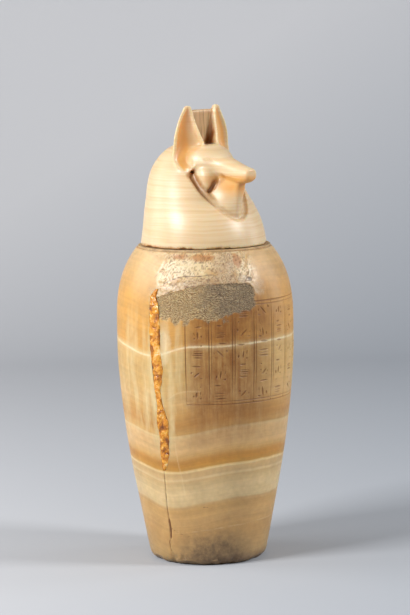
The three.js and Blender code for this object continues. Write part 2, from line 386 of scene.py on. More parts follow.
@dataclass(frozen=True)
class BandedCalcite:
    """Banded calcite, turned and polished: level layers of honey, cream and rust.

    The eye gets a waxy, deep surface that lets light in, crisp layers that dip a little, and a
    grey crust where the polish has flaked away.
    """

    roughness: float = 0.34
    ior: float = 1.56
    growth: float = 3.0  # mm between the widest growth lines
    contour: float = 1.5  # mm between the crust's winding lines
    # Height of each layer in mm and its colour.
    layers: tuple[tuple[float, str], ...] = (
        (0, "8a7150"), (8, "b3925f"), (30, "c1975c"), (44, "c9a065"), (54, "c69c5e"),
        (57.5, "caa46c"), (59, "d9bd8a"), (70, "dabe8b"), (78, "d3b47f"), (81, "cfac76"),
        (82, "e2c793"), (84, "d0ae79"), (88.5, "cda972"), (89.6, "ecd198"), (90.6, "e3bd7c"),
        (91.4, "cb9845"), (95, "bf8734"), (99, "c48c3e"), (103, "d1a562"), (108, "d4ac73"),
        (119, "d4ad75"), (121.6, "d8b47d"), (122.6, "e4c78f"), (124, "ca9e5b"), (132, "c18c44"),
        (142, "c99a54"), (152, "cfa76a"), (170, "cfa764"), (196, "d2ab68"), (199, "d09a4a"),
        (238, "d09c50"), (279, "d6b482"),
    )

    def fine_lines(self, tree: bpy.types.NodeTree, place: bpy.types.NodeSocket,
                   layer: bpy.types.NodeSocket) -> bpy.types.NodeSocket:
        """Growth lines of the stone, following its layers.

        Args:
            tree: the material's tree.
            place: Object coordinates.
            layer: the height among the layers in mm.

        Returns:
            A value round a half.
        """
        split = add(tree, "ShaderNodeSeparateXYZ", {0: place}).outputs
        level = add(tree, "ShaderNodeMath", {0: layer, 1: 1 / self.growth}, operation="MULTIPLY")
        x, y = (add(tree, "ShaderNodeMath", {0: split[axis], 1: 9.0}, operation="MULTIPLY")
                for axis in "XY")
        flat = add(tree, "ShaderNodeCombineXYZ",
                   {"X": x.outputs[0], "Y": y.outputs[0], "Z": level.outputs[0]}).outputs[0]
        return add(tree, "ShaderNodeTexNoise",
                   {"Vector": flat, "Scale": 1.0, "Detail": 5.0, "Roughness": 0.62}).outputs[0]

    def crust(
        self, tree: bpy.types.NodeTree, place: bpy.types.NodeSocket, warm: bpy.types.NodeSocket
    ) -> tuple[bpy.types.NodeSocket, bpy.types.NodeSocket, bpy.types.NodeSocket]:
        """The flaked surface: winding contour lines over grey and tan grains.

        Args:
            tree: the material's tree.
            place: Object coordinates.
            warm: where the crust is tan and not grey.

        Returns:
            Its colour, the colour of its paler ash, and its height.
        """
        height = add(tree, "ShaderNodeSeparateXYZ", {0: place}).outputs["Z"]
        swell = add(tree, "ShaderNodeTexNoise",
                    {"Vector": place, "Scale": 38.0, "Detail": 4.0, "Roughness": 0.5}).outputs[0]
        swell = add(tree, "ShaderNodeMath", {0: swell, 1: 0.035, 2: height},
                    operation="MULTIPLY_ADD").outputs[0]
        turns = add(tree, "ShaderNodeMath", {0: swell, 1: 1000 / self.contour},
                    operation="MULTIPLY").outputs[0]
        lines = add(tree, "ShaderNodeMath", {0: turns, 1: 0.5}, operation="PINGPONG").outputs[0]
        grain = add(tree, "ShaderNodeTexNoise",
                    {"Vector": place, "Scale": 720.0, "Detail": 4.0, "Roughness": 0.7}).outputs[0]
        mixed = add(tree, "ShaderNodeMath", {0: lines, 1: 0.55, 2: grain},
                    operation="MULTIPLY_ADD").outputs[0]
        tone = add(tree, "ShaderNodeTexNoise",
                   {"Vector": place, "Scale": 75.0, "Detail": 4.0}).outputs[0]
        grey = add(tree, "ShaderNodeValToRGB", {0: mixed},
                   stops=[(0.42, "57452f"), (0.56, "745f45"), (0.68, "8b765a"),
                          (0.84, "a8936f")]).outputs[0]
        tan = add(tree, "ShaderNodeValToRGB", {0: mixed},
                  stops=[(0.42, "74593a"), (0.56, "967a51"), (0.68, "ad9266"),
                         (0.84, "c6ab7f")]).outputs[0]
        tone = add(tree, "ShaderNodeMath", {0: tone, 1: warm}, operation="ADD").outputs[0]
        tone = add(tree, "ShaderNodeMapRange",
                   {"Value": tone, "From Min": 0.75, "From Max": 1.15}).outputs[0]
        colour = add(tree, "ShaderNodeMix", {0: tone, 6: grey, 7: tan},
                     data_type="RGBA").outputs[2]
        ashes = add(tree, "ShaderNodeValToRGB", {0: mixed},
                    stops=[(0.4, "83694c"), (0.55, "b09475"), (0.75, "cfb896")]).outputs[0]
        return colour, ashes, mixed

    def material(self) -> bpy.types.Material:
        """The material for the jar.

        Returns:
            A material that reads Object coordinates and the jar's own attributes.
        """
        made = bpy.data.materials.new("banded_calcite_polished")
        made.use_nodes = True
        tree = made.node_tree
        tree.nodes.clear()
        place = add(tree, "ShaderNodeTexCoord").outputs["Object"]
        read = {name: add(tree, "ShaderNodeAttribute", attribute_name=name).outputs["Fac"]
                for name in ("layer", "vein", "seam", "tan", "patina", "smear", "cut", "crack",
                             "mark", "patch", "ashen", "flake", "pale", "plate", "skin", "edge",
                             "dirt_and_joint_shade")}
        fray = add(tree, "ShaderNodeTexNoise",
                   {"Vector": place, "Scale": 260.0, "Detail": 4.0, "Roughness": 0.6}).outputs[0]

        torn = add(tree, "ShaderNodeTexNoise",
                   {"Vector": place, "Scale": 95.0, "Detail": 8.0, "Roughness": 0.72}).outputs[0]

        def mask(name: str, sway: float, soft: float, most: float,
                 edge: bpy.types.NodeSocket = fray) -> bpy.types.NodeSocket:
            """A ragged mask from a distance in mm that is positive inside."""
            moved = add(tree, "ShaderNodeMath", {0: edge, 1: sway, 2: read[name]},
                        operation="MULTIPLY_ADD").outputs[0]
            return add(tree, "ShaderNodeMapRange",
                       {"Value": moved, "From Min": sway / 2 - soft, "From Max": sway / 2 + soft,
                        "To Max": most}).outputs[0]

        def over(colour: bpy.types.NodeSocket, share: bpy.types.NodeSocket,
                 top: bpy.types.NodeSocket | str) -> bpy.types.NodeSocket:
            """One colour laid over another by a share."""
            value = linear(top) if isinstance(top, str) else top
            return add(tree, "ShaderNodeMix", {0: share, 6: colour, 7: value},
                       data_type="RGBA").outputs[2]

        # Layers wander by a millimetre or two.
        wander = add(tree, "ShaderNodeTexNoise",
                     {"Vector": place, "Scale": 22.0, "Detail": 3.0, "Roughness": 0.5}).outputs[0]
        layer = add(tree, "ShaderNodeMath", {0: wander, 1: 5.0, 2: read["layer"]},
                    operation="MULTIPLY_ADD").outputs[0]
        layer = add(tree, "ShaderNodeMath", {0: layer, 1: -2.5}, operation="ADD").outputs[0]
        share = add(tree, "ShaderNodeMapRange",
                    {"Value": layer, "From Min": 0.0, "From Max": 279.0}).outputs[0]
        colour = add(tree, "ShaderNodeValToRGB", {0: share},
                     stops=[(height / 279, code) for height, code in self.layers]).outputs[0]
        lines = self.fine_lines(tree, place, layer)
        shade = add(tree, "ShaderNodeMapRange",
                    {"Value": lines, "From Min": 0.3, "From Max": 0.7, "To Min": 0.9,
                     "To Max": 1.08}).outputs[0]
        sugar = add(tree, "ShaderNodeTexNoise",
                    {"Vector": place, "Scale": 520.0, "Detail": 5.0, "Roughness": 0.75})
        sugar = add(tree, "ShaderNodeMapRange",
                    {"Value": sugar.outputs[0], "From Min": 0.3, "From Max": 0.7, "To Min": 0.9,
                     "To Max": 1.1}).outputs[0]
        shade = add(tree, "ShaderNodeMath", {0: shade, 1: sugar}, operation="MULTIPLY").outputs[0]
        cloud = add(tree, "ShaderNodeTexNoise",
                    {"Vector": place, "Scale": 38.0, "Detail": 6.0, "Roughness": 0.6}).outputs[0]
        cloud = add(tree, "ShaderNodeMapRange",
                    {"Value": cloud, "From Min": 0.3, "From Max": 0.7, "To Min": 0.87,
                     "To Max": 1.1}).outputs[0]
        shade = add(tree, "ShaderNodeMath", {0: shade, 1: cloud}, operation="MULTIPLY").outputs[0]
        colour = add(tree, "ShaderNodeVectorMath", {0: colour, "Scale": shade},
                     operation="SCALE").outputs[0]
        # Upright milky streaks, where water ran through the stone.
        upright = add(tree, "ShaderNodeVectorMath", {0: place, 1: (95.0, 95.0, 11.0)},
                      operation="MULTIPLY").outputs[0]
        streak = add(tree, "ShaderNodeTexNoise",
                     {"Vector": upright, "Scale": 1.0, "Detail": 4.0, "Roughness": 0.6}).outputs[0]
        streak = add(tree, "ShaderNodeMapRange",
                     {"Value": streak, "From Min": 0.46, "From Max": 0.7, "To Max": 0.65})
        streak = add(tree, "ShaderNodeMath", {0: streak.outputs[0], 1: read["smear"]},
                     operation="MULTIPLY").outputs[0]
        colour = over(colour, streak, "e3cf9c")
        # Brown patina over the engraved front.
        upright = add(tree, "ShaderNodeVectorMath", {0: place, 1: (330.0, 330.0, 26.0)},
                      operation="MULTIPLY").outputs[0]
        comb = add(tree, "ShaderNodeTexNoise",
                   {"Vector": upright, "Scale": 1.0, "Detail": 4.0, "Roughness": 0.65}).outputs[0]
        comb = add(tree, "ShaderNodeMath", {0: comb, 1: torn}, operation="ADD").outputs[0]
        comb = add(tree, "ShaderNodeMapRange",
                   {"Value": comb, "From Min": 0.75, "From Max": 1.25, "To Min": 0.55,
                    "To Max": 1.35}).outputs[0]
        brown = add(tree, "ShaderNodeMath", {0: read["patina"], 1: comb},
                    operation="MULTIPLY").outputs[0]
        colour = over(colour, brown, "8f5b22")
        split = add(tree, "ShaderNodeMath", {0: read["vein"]}, operation="ABSOLUTE").outputs[0]
        read["main"] = add(tree, "ShaderNodeMath", {0: 0.9, 1: split},
                           operation="SUBTRACT").outputs[0]
        patchy = add(tree, "ShaderNodeMapRange",
                     {"Value": torn, "From Min": 0.36, "From Max": 0.56, "To Min": 0.35}).outputs[0]
        vein = add(tree, "ShaderNodeMath", {0: mask("main", 2.2, 0.75, 0.85), 1: patchy},
                   operation="MULTIPLY").outputs[0]
        halo = add(tree, "ShaderNodeMath", {0: mask("main", 5.0, 3.2, 0.3), 1: vein},
                   operation="MAXIMUM").outputs[0]
        colour = over(colour, halo, "f3dfb4")
        colour = over(colour, mask("seam", 1.8, 0.8, 0.5), "efd8aa")
        # Plates of old skin between the crust and the rim, each with its own tone.
        tones = add(tree, "ShaderNodeValToRGB", {0: read["plate"]},
                    stops=[(0.0, "c39b63"), (0.35, "dcc190"), (0.65, "e6d2a6"),
                           (1.0, "b99064")]).outputs[0]
        colour = over(colour, mask("skin", 6.0, 2.5, 0.6, torn), tones)
        colour = over(colour, mask("pale", 10.0, 2.0, 0.6, torn), "e8d6ae")
        crust, ashes, rugged = self.crust(tree, place, read["tan"])
        colour = over(colour, mask("ashen", 12.0, 2.2, 0.7, torn), ashes)
        colour = over(colour, mask("flake", 8.0, 0.8, 0.75, torn), "b0733a")
        # Painted shade: a dark line along each step of the flaked skin, where the step throws its shadow.
        step = add(tree, "ShaderNodeMath", {0: read["edge"], 1: patchy}, operation="MULTIPLY")
        colour = over(colour, step.outputs[0], "6a4a2b")
        cut = mask("cut", 0.6, 0.45, 0.62)
        colour = over(colour, cut, "74461c")
        patch = mask("patch", 5.0, 0.9, 1.0)
        colour = over(colour, patch, crust)
        # Dark scratches and specks, and a painted shadow line under the patch's upper step.
        colour = over(colour, mask("mark", 0.9, 0.35, 0.75), "4f3924")
        colour = over(colour, mask("crack", 1.2, 0.4, 0.85), "6f431d")
        # Dirt darkens the foot, and painted shade darkens the top of the rim where the stopper sits on
        # it.
        spots = add(tree, "ShaderNodeTexNoise",
                    {"Vector": place, "Scale": 170.0, "Detail": 7.0, "Roughness": 0.72}).outputs[0]
        foot_dirt_and_rim_shade = add(tree, "ShaderNodeMath", {0: spots, 1: read["dirt_and_joint_shade"]},
                   operation="MULTIPLY").outputs[0]
        foot_dirt_and_rim_shade = add(tree, "ShaderNodeMapRange",
                   {"Value": foot_dirt_and_rim_shade, "From Min": 0.16, "From Max": 0.6, "To Max": 0.9}).outputs[0]
        colour = over(colour, foot_dirt_and_rim_shade, "66503a")
        dull = patch
        for other in (foot_dirt_and_rim_shade, cut, read["edge"]):
            dull = add(tree, "ShaderNodeMath", {0: dull, 1: other}, operation="MAXIMUM").outputs[0]
        rough = add(tree, "ShaderNodeMapRange",
                    {"Value": dull, "To Min": self.roughness, "To Max": 0.85}).outputs[0]
        bump = add(tree, "ShaderNodeBump",
                   {"Height": rugged, "Strength": patch, "Distance": 0.0009}).outputs[0]
        bump = add(tree, "ShaderNodeBump",
                   {"Height": lines, "Strength": 0.1, "Distance": 0.0006, "Normal": bump})
        shader = add(tree, "ShaderNodeBsdfPrincipled",
                     {"Base Color": colour, "Roughness": rough, "IOR": self.ior,
                      "Subsurface Weight": 0.35, "Subsurface Scale": 0.01,
                      "Subsurface Radius": (1.0, 0.55, 0.25), "Normal": bump.outputs[0]})
        add(tree, "ShaderNodeOutputMaterial", {"Surface": shader.outputs[0]})
        return made


@dataclass(frozen=True)
class PaleCalcite:
    """Pale calcite, carved and polished: cream stone with close growth lines.

    The eye gets a soft cream surface, with a painted amber glow where it is thin and painted orange-brown
    shade in the undercuts.
    """

    roughness: float = 0.37
    ior: float = 1.56

    def material(self) -> bpy.types.Material:
        """The material for the stopper.

        Returns:
            A material that reads Object coordinates and the stopper's own attributes.
        """
        made = bpy.data.materials.new("pale_calcite_polished")
        made.use_nodes = True
        tree = made.node_tree
        tree.nodes.clear()
        place = add(tree, "ShaderNodeTexCoord").outputs["Object"]
        split = add(tree, "ShaderNodeSeparateXYZ", {0: place}).outputs
        wander = add(tree, "ShaderNodeTexNoise",
                     {"Vector": place, "Scale": 16.0, "Detail": 3.0}).outputs[0]
        level = add(tree, "ShaderNodeMath", {0: wander, 1: 0.007, 2: split["Z"]},
                    operation="MULTIPLY_ADD").outputs[0]
        flat = add(tree, "ShaderNodeCombineXYZ",
                   {"X": split["X"], "Y": split["Y"], "Z": level}).outputs[0]
        flat = add(tree, "ShaderNodeVectorMath", {0: flat, 1: (12, 12, 560)},
                   operation="MULTIPLY").outputs[0]
        lines = add(tree, "ShaderNodeTexNoise",
                    {"Vector": flat, "Scale": 1.0, "Detail": 4.0, "Roughness": 0.6}).outputs[0]
        colour = add(tree, "ShaderNodeValToRGB", {0: lines},
                     stops=[(0.24, "cfad80"), (0.45, "d8bb90"), (0.55, "dac098"),
                            (0.76, "dec8a4")]).outputs[0]
        read = {name: add(tree, "ShaderNodeAttribute", attribute_name=name).outputs["Fac"]
                for name in ("scoop", "amber", "web", "hollow", "dirt_and_joint_shade")}
        spots = add(tree, "ShaderNodeTexNoise",
                    {"Vector": place, "Scale": 260.0, "Detail": 5.0, "Roughness": 0.65}).outputs[0]
        # Painted glow: amber painted into the colour where the thin stone glows, in the scoops of the
        # ears and under the muzzle.
        for name, most, code in [("scoop", 0.8, "d9983a"), ("amber", 0.75, "d9983a")]:
            share = add(tree, "ShaderNodeMath", {0: read[name], 1: most}, operation="MULTIPLY")
            colour = add(tree, "ShaderNodeMix",
                         {0: share.outputs[0], 6: colour, 7: linear(code)},
                         data_type="RGBA").outputs[2]
        # The web between the ears was left as the tool cut it.
        upright = add(tree, "ShaderNodeVectorMath", {0: place, 1: (620.0, 620.0, 40.0)},
                      operation="MULTIPLY").outputs[0]
        combed = add(tree, "ShaderNodeTexNoise",
                     {"Vector": upright, "Scale": 1.0, "Detail": 3.0}).outputs[0]
        combed = add(tree, "ShaderNodeValToRGB", {0: combed},
                     stops=[(0.3, "9c7649"), (0.5, "c49c6c"), (0.7, "d8b486")]).outputs[0]
        share = add(tree, "ShaderNodeMath", {0: read["web"], 1: 0.85}, operation="MULTIPLY")
        colour = add(tree, "ShaderNodeMix", {0: share.outputs[0], 6: colour, 7: combed},
                     data_type="RGBA").outputs[2]
        # Painted shade: orange-brown laid into and round the undercuts.
        hollow = add(tree, "ShaderNodeMath", {0: spots, 1: 0.5, 2: read["hollow"]},
                     operation="MULTIPLY_ADD").outputs[0]
        hollow = add(tree, "ShaderNodeMapRange",
                     {"Value": hollow, "From Min": 0.4, "From Max": 1.1, "To Max": 0.85})
        colour = add(tree, "ShaderNodeMix",
                     {0: hollow.outputs[0], 6: colour, 7: linear("a5651f")},
                     data_type="RGBA").outputs[2]
        # The stopper's lower edge, where it meets the jar, is painted darker orange-tan.
        dirt_and_joint_shade = add(tree, "ShaderNodeMath", {0: spots, 1: read["dirt_and_joint_shade"]},
                    operation="MULTIPLY").outputs[0]
        dirt_and_joint_shade = add(tree, "ShaderNodeMapRange",
                    {"Value": dirt_and_joint_shade, "From Min": 0.2, "From Max": 0.5, "To Max": 0.8}).outputs[0]
        colour = add(tree, "ShaderNodeMix", {0: dirt_and_joint_shade, 6: colour, 7: linear("a8703a")},
                     data_type="RGBA").outputs[2]
        bump = add(tree, "ShaderNodeBump",
                   {"Height": lines, "Strength": 0.1, "Distance": 0.0005}).outputs[0]
        shader = add(tree, "ShaderNodeBsdfPrincipled",
                     {"Base Color": colour, "Roughness": self.roughness, "IOR": self.ior,
                      "Subsurface Weight": 0.4, "Subsurface Scale": 0.012,
                      "Subsurface Radius": (1.0, 0.5, 0.2), "Normal": bump})
        add(tree, "ShaderNodeOutputMaterial", {"Surface": shader.outputs[0]})
        return made


@dataclass(frozen=True)
class AmberResin:
    """Old resin, poured and set: glassy amber with brown clouds and wet-looking lumps."""

    roughness: float = 0.1
    ior: float = 1.54

    def material(self) -> bpy.types.Material:
        """The material for the fissure's fill.

        Returns:
            A material that reads Object coordinates.
        """
        made = bpy.data.materials.new("amber_resin_set")
        made.use_nodes = True
        tree = made.node_tree
        tree.nodes.clear()
        place = add(tree, "ShaderNodeTexCoord").outputs["Object"]
        cloud = add(tree, "ShaderNodeTexNoise",
                    {"Vector": place, "Scale": 130.0, "Detail": 6.0, "Roughness": 0.65,
                     "Distortion": 0.6}).outputs[0]
        colour = add(tree, "ShaderNodeValToRGB", {0: cloud},
                     stops=[(0.32, "4a260a"), (0.42, "93530f"), (0.5, "c9801c"),
                            (0.58, "e2a038"), (0.68, "f3cf92")]).outputs[0]
        bump = add(tree, "ShaderNodeBump",
                   {"Height": cloud, "Strength": 0.7, "Distance": 0.002}).outputs[0]
        shader = add(tree, "ShaderNodeBsdfPrincipled",
                     {"Base Color": colour, "Roughness": self.roughness, "IOR": self.ior,
                      "Subsurface Weight": 0.3, "Subsurface Scale": 0.004,
                      "Subsurface Radius": (1.0, 0.45, 0.1), "Normal": bump})
        add(tree, "ShaderNodeOutputMaterial", {"Surface": shader.outputs[0]})
        return made


@dataclass(frozen=True)
class StudioPaper:
    """Matt grey paper that takes a soft shadow, painted lighter to one side and up the wall and darker
    and cooler to the other.
    """

    lit_side: str = "c6c6c8"
    shaded_side: str = "a6aab0"
    spread: float = 0.8  # metres from the one colour to the other

    def material(self) -> bpy.types.Material:
        """The material for the floor and the wall behind it.

        Returns:
            A matt material.
        """
        made = bpy.data.materials.new("studio_paper")
        made.use_nodes = True
        tree = made.node_tree
        place = add(tree, "ShaderNodeTexCoord").outputs["Object"]
        # Painted light and shade: the colour runs from the lit side to the shaded side across the
        # camera's view, and is lighter up the wall.
        turn = math.radians(-40.0)
        side = add(tree, "ShaderNodeVectorMath",
                   {0: place, 1: (math.cos(turn), math.sin(turn), -1.6)},
                   operation="DOT_PRODUCT").outputs["Value"]
        share = add(tree, "ShaderNodeMapRange",
                    {"Value": side, "From Min": -0.7 * self.spread,
                     "From Max": 0.3 * self.spread}).outputs[0]
        colour = add(tree, "ShaderNodeMix",
                     {0: share, 6: linear(self.lit_side), 7: linear(self.shaded_side)},
                     data_type="RGBA").outputs[2]
        shader = tree.nodes["Principled BSDF"]
        tree.links.new(colour, shader.inputs["Base Color"])
        shader.inputs["Roughness"].default_value = 0.95
        shader.inputs["Specular IOR Level"].default_value = 0.1
        return made


# ---- The jar ------------------------------------------------------------------------------


@dataclass(frozen=True)
class JarShape:
    """The jar's turned shape in mm."""

    height: float = 279.0
    foot_radius: float = 51.0
    foot_rounding: float = 6.0
    shoulder_radius: float = 78.3
    shoulder_height: float = 204.0
    neck_radius: float = 60.0
    collar_radius: float = 58.5
    collar_height: float = 2.0
    mouth_radius: float = 38.0
    mouth_depth: float = 15.0
    wall: float = 17.0
    floor: float = 30.0

    def radius(self, height: np.ndarray | float) -> np.ndarray:
        """The outer radius at a height.

        Args:
            height: mm over the underside.

        Returns:
            The radius in mm.
        """
        height = np.asarray(height, dtype=float)
        neck = self.height - self.collar_height
        share = np.clip((height - self.shoulder_height) / (neck - self.shoulder_height), 0, 1)
        shoulder = self.shoulder_radius + (self.neck_radius - self.shoulder_radius) * share**3
        swell = np.sin(
            math.pi / 2 * (np.clip(height, 0, self.shoulder_height) / self.shoulder_height) ** 1.05
        )
        under = np.clip(1 - height / self.foot_rounding, 0, 1)
        rounding = self.foot_rounding * (1 - np.sqrt(1 - under**2))
        side = self.foot_radius + (self.shoulder_radius - self.foot_radius) * swell - rounding
        return np.where(height > self.shoulder_height, shoulder, side)

    def point(self, azimuth: np.ndarray, height: np.ndarray, out: float = 0.0) -> np.ndarray:
        """Points over the side, at azimuths in degrees from the front towards +X."""
        turn, reach = np.radians(azimuth), self.radius(height) + out
        return np.stack([reach * np.sin(turn), -reach * np.cos(turn),
                         np.broadcast_to(height, np.shape(turn)).astype(float)], axis=-1)


@dataclass(frozen=True)
class Panel:
    """The engraved panel: ruled columns with rows of plain strokes."""

    columns: int = 7
    column_angle: float = 15.1
    bottom: float = 147.0
    top: float = 235.0
    rows: int = 5

    def rules(self) -> dict[str, list[list[tuple[float, float]]]]:
        """The panel's rules as azimuth and height pairs.

        Returns:
            The level rules and the upright ones, strong and fine.
        """
        half = self.columns * self.column_angle / 2
        turns = np.linspace(-half, half, 60)
        level = [[(a, h) for a in turns] for h in (self.bottom, self.top)]
        fine_level = [[(a, h) for a in turns] for h in (self.bottom + 2.6, self.top - 2.8)]
        heights = np.linspace(self.bottom + 0.2, self.top - 0.2, 24)
        edges = [i * self.column_angle - half for i in range(self.columns + 1)]
        upright = [[(edge, h) for h in heights] for edge in edges]
        inner = np.linspace(self.bottom + 3.4, self.top - 3.6, 24)
        fine = [[(edge + side, h) for h in inner] for edge in edges[1:-1] for side in (1.7,)]
        return {"level": level, "fine_level": fine_level, "upright": upright, "fine": fine}

    def strokes(self) -> dict[str, list[list[tuple[float, float]]]]:
        """Plain strokes in each column: levels, uprights, slants and short ticks.

        Returns:
            A pair of azimuth and height points for each stroke, broad and fine ones.
        """
        pick = np.random.default_rng(11)
        half = self.columns * self.column_angle / 2
        step = (self.top - self.bottom) / self.rows
        made: dict[str, list[list[tuple[float, float]]]] = {"broad": [], "fine": []}
        for column, row in product(range(self.columns), range(self.rows)):
            turn = (column + 0.5) * self.column_angle - half + pick.uniform(-0.5, 0.5)
            rise = self.bottom + (row + 0.5) * step + pick.uniform(-0.8, 0.8)
            kind = (column + 2 * row) % 3
            hand, size = pick.choice([-1, 1]), pick.uniform(0.75, 1.1)

            def mark(a: float, h: float, b: float, k: float, tool: str = "broad") -> None:
                """One stroke from (a, h) to (b, k), measured from the cell's middle."""
                slip = pick.uniform(-0.45, 0.45, 4)
                ends = [(turn + size * hand * x + dx, rise + size * y + dy)
                        for x, y, dx, dy in ((a, h, *slip[:2]), (b, k, *slip[2:]))]
                made[tool].append(ends)

            if kind == 0:  # an upright with shorter ones beside it
                mark(-0.6, -4.8, 0.2, 4.6)
                mark(-3.4, -4.2, -3.0, 0.6)
                mark(2.6, -1.0, 3.3, 4.4, "fine")
                mark(1.0, -4.4, 4.2, -3.9)
            elif kind == 1:  # a stack of levels
                for level in (-3.2, -0.9, 1.3, 3.6)[: 3 + int(pick.random() < 0.4)]:
                    mark(-4.6, level, 4.4, level, pick.choice(["broad", "fine"]))
            else:  # a slant with ticks at its sides
                mark(-2.6, -3.8, 2.8, 3.6)
                mark(1.4, -3.6, 4.4, -3.2, "fine")
                mark(-4.1, 0.6, -3.6, 4.0)
                mark(3.9, -1.2, 4.1, 2.2, "fine")
            # The gap between two rows holds a level or a pair of ticks.
            if row < self.rows - 1:
                if pick.random() < 0.5:
                    mark(-4.4, step / 2, pick.uniform(0.5, 4.4), step / 2)
                else:
                    mark(-2.9, step / 2 - 1.6, -2.8, step / 2 + 1.3)
                    mark(2.2, step / 2 - 1.3, 2.6, step / 2 + 1.2, "fine")
        return made


@dataclass(frozen=True)
class Fissure:
    """The long fissure: its place, depth and ragged course."""

    azimuth: float = -73.5
    depth: float = 3.0
    proud: float = 0.4
    # Height, how far its middle wanders sideways, width.
    course: tuple[tuple[float, float, float], ...] = (
        (86, -0.6, 2), (100, 1.8, 8.5), (115, 3.2, 9), (131, 2.6, 11.5), (145, 1.6, 6),
        (158, 0, 5.5), (176, 1.2, 11), (194, -0.6, 10), (212, -0.7, 11), (228, -1.5, 9),
        (240, -3.2, 6), (247, 0.2, 2.5),
    )

    def middle(self, height: np.ndarray) -> np.ndarray:
        """How far the middle wanders sideways at a height, in mm."""
        table = np.array(self.course)
        return np.interp(height, table[:, 0], table[:, 1])

    def width(self, height: np.ndarray) -> np.ndarray:
        """The width at a height in mm, nothing beyond the ends."""
        table = np.array(self.course)
        return np.interp(height, table[:, 0], table[:, 2], left=0, right=0)


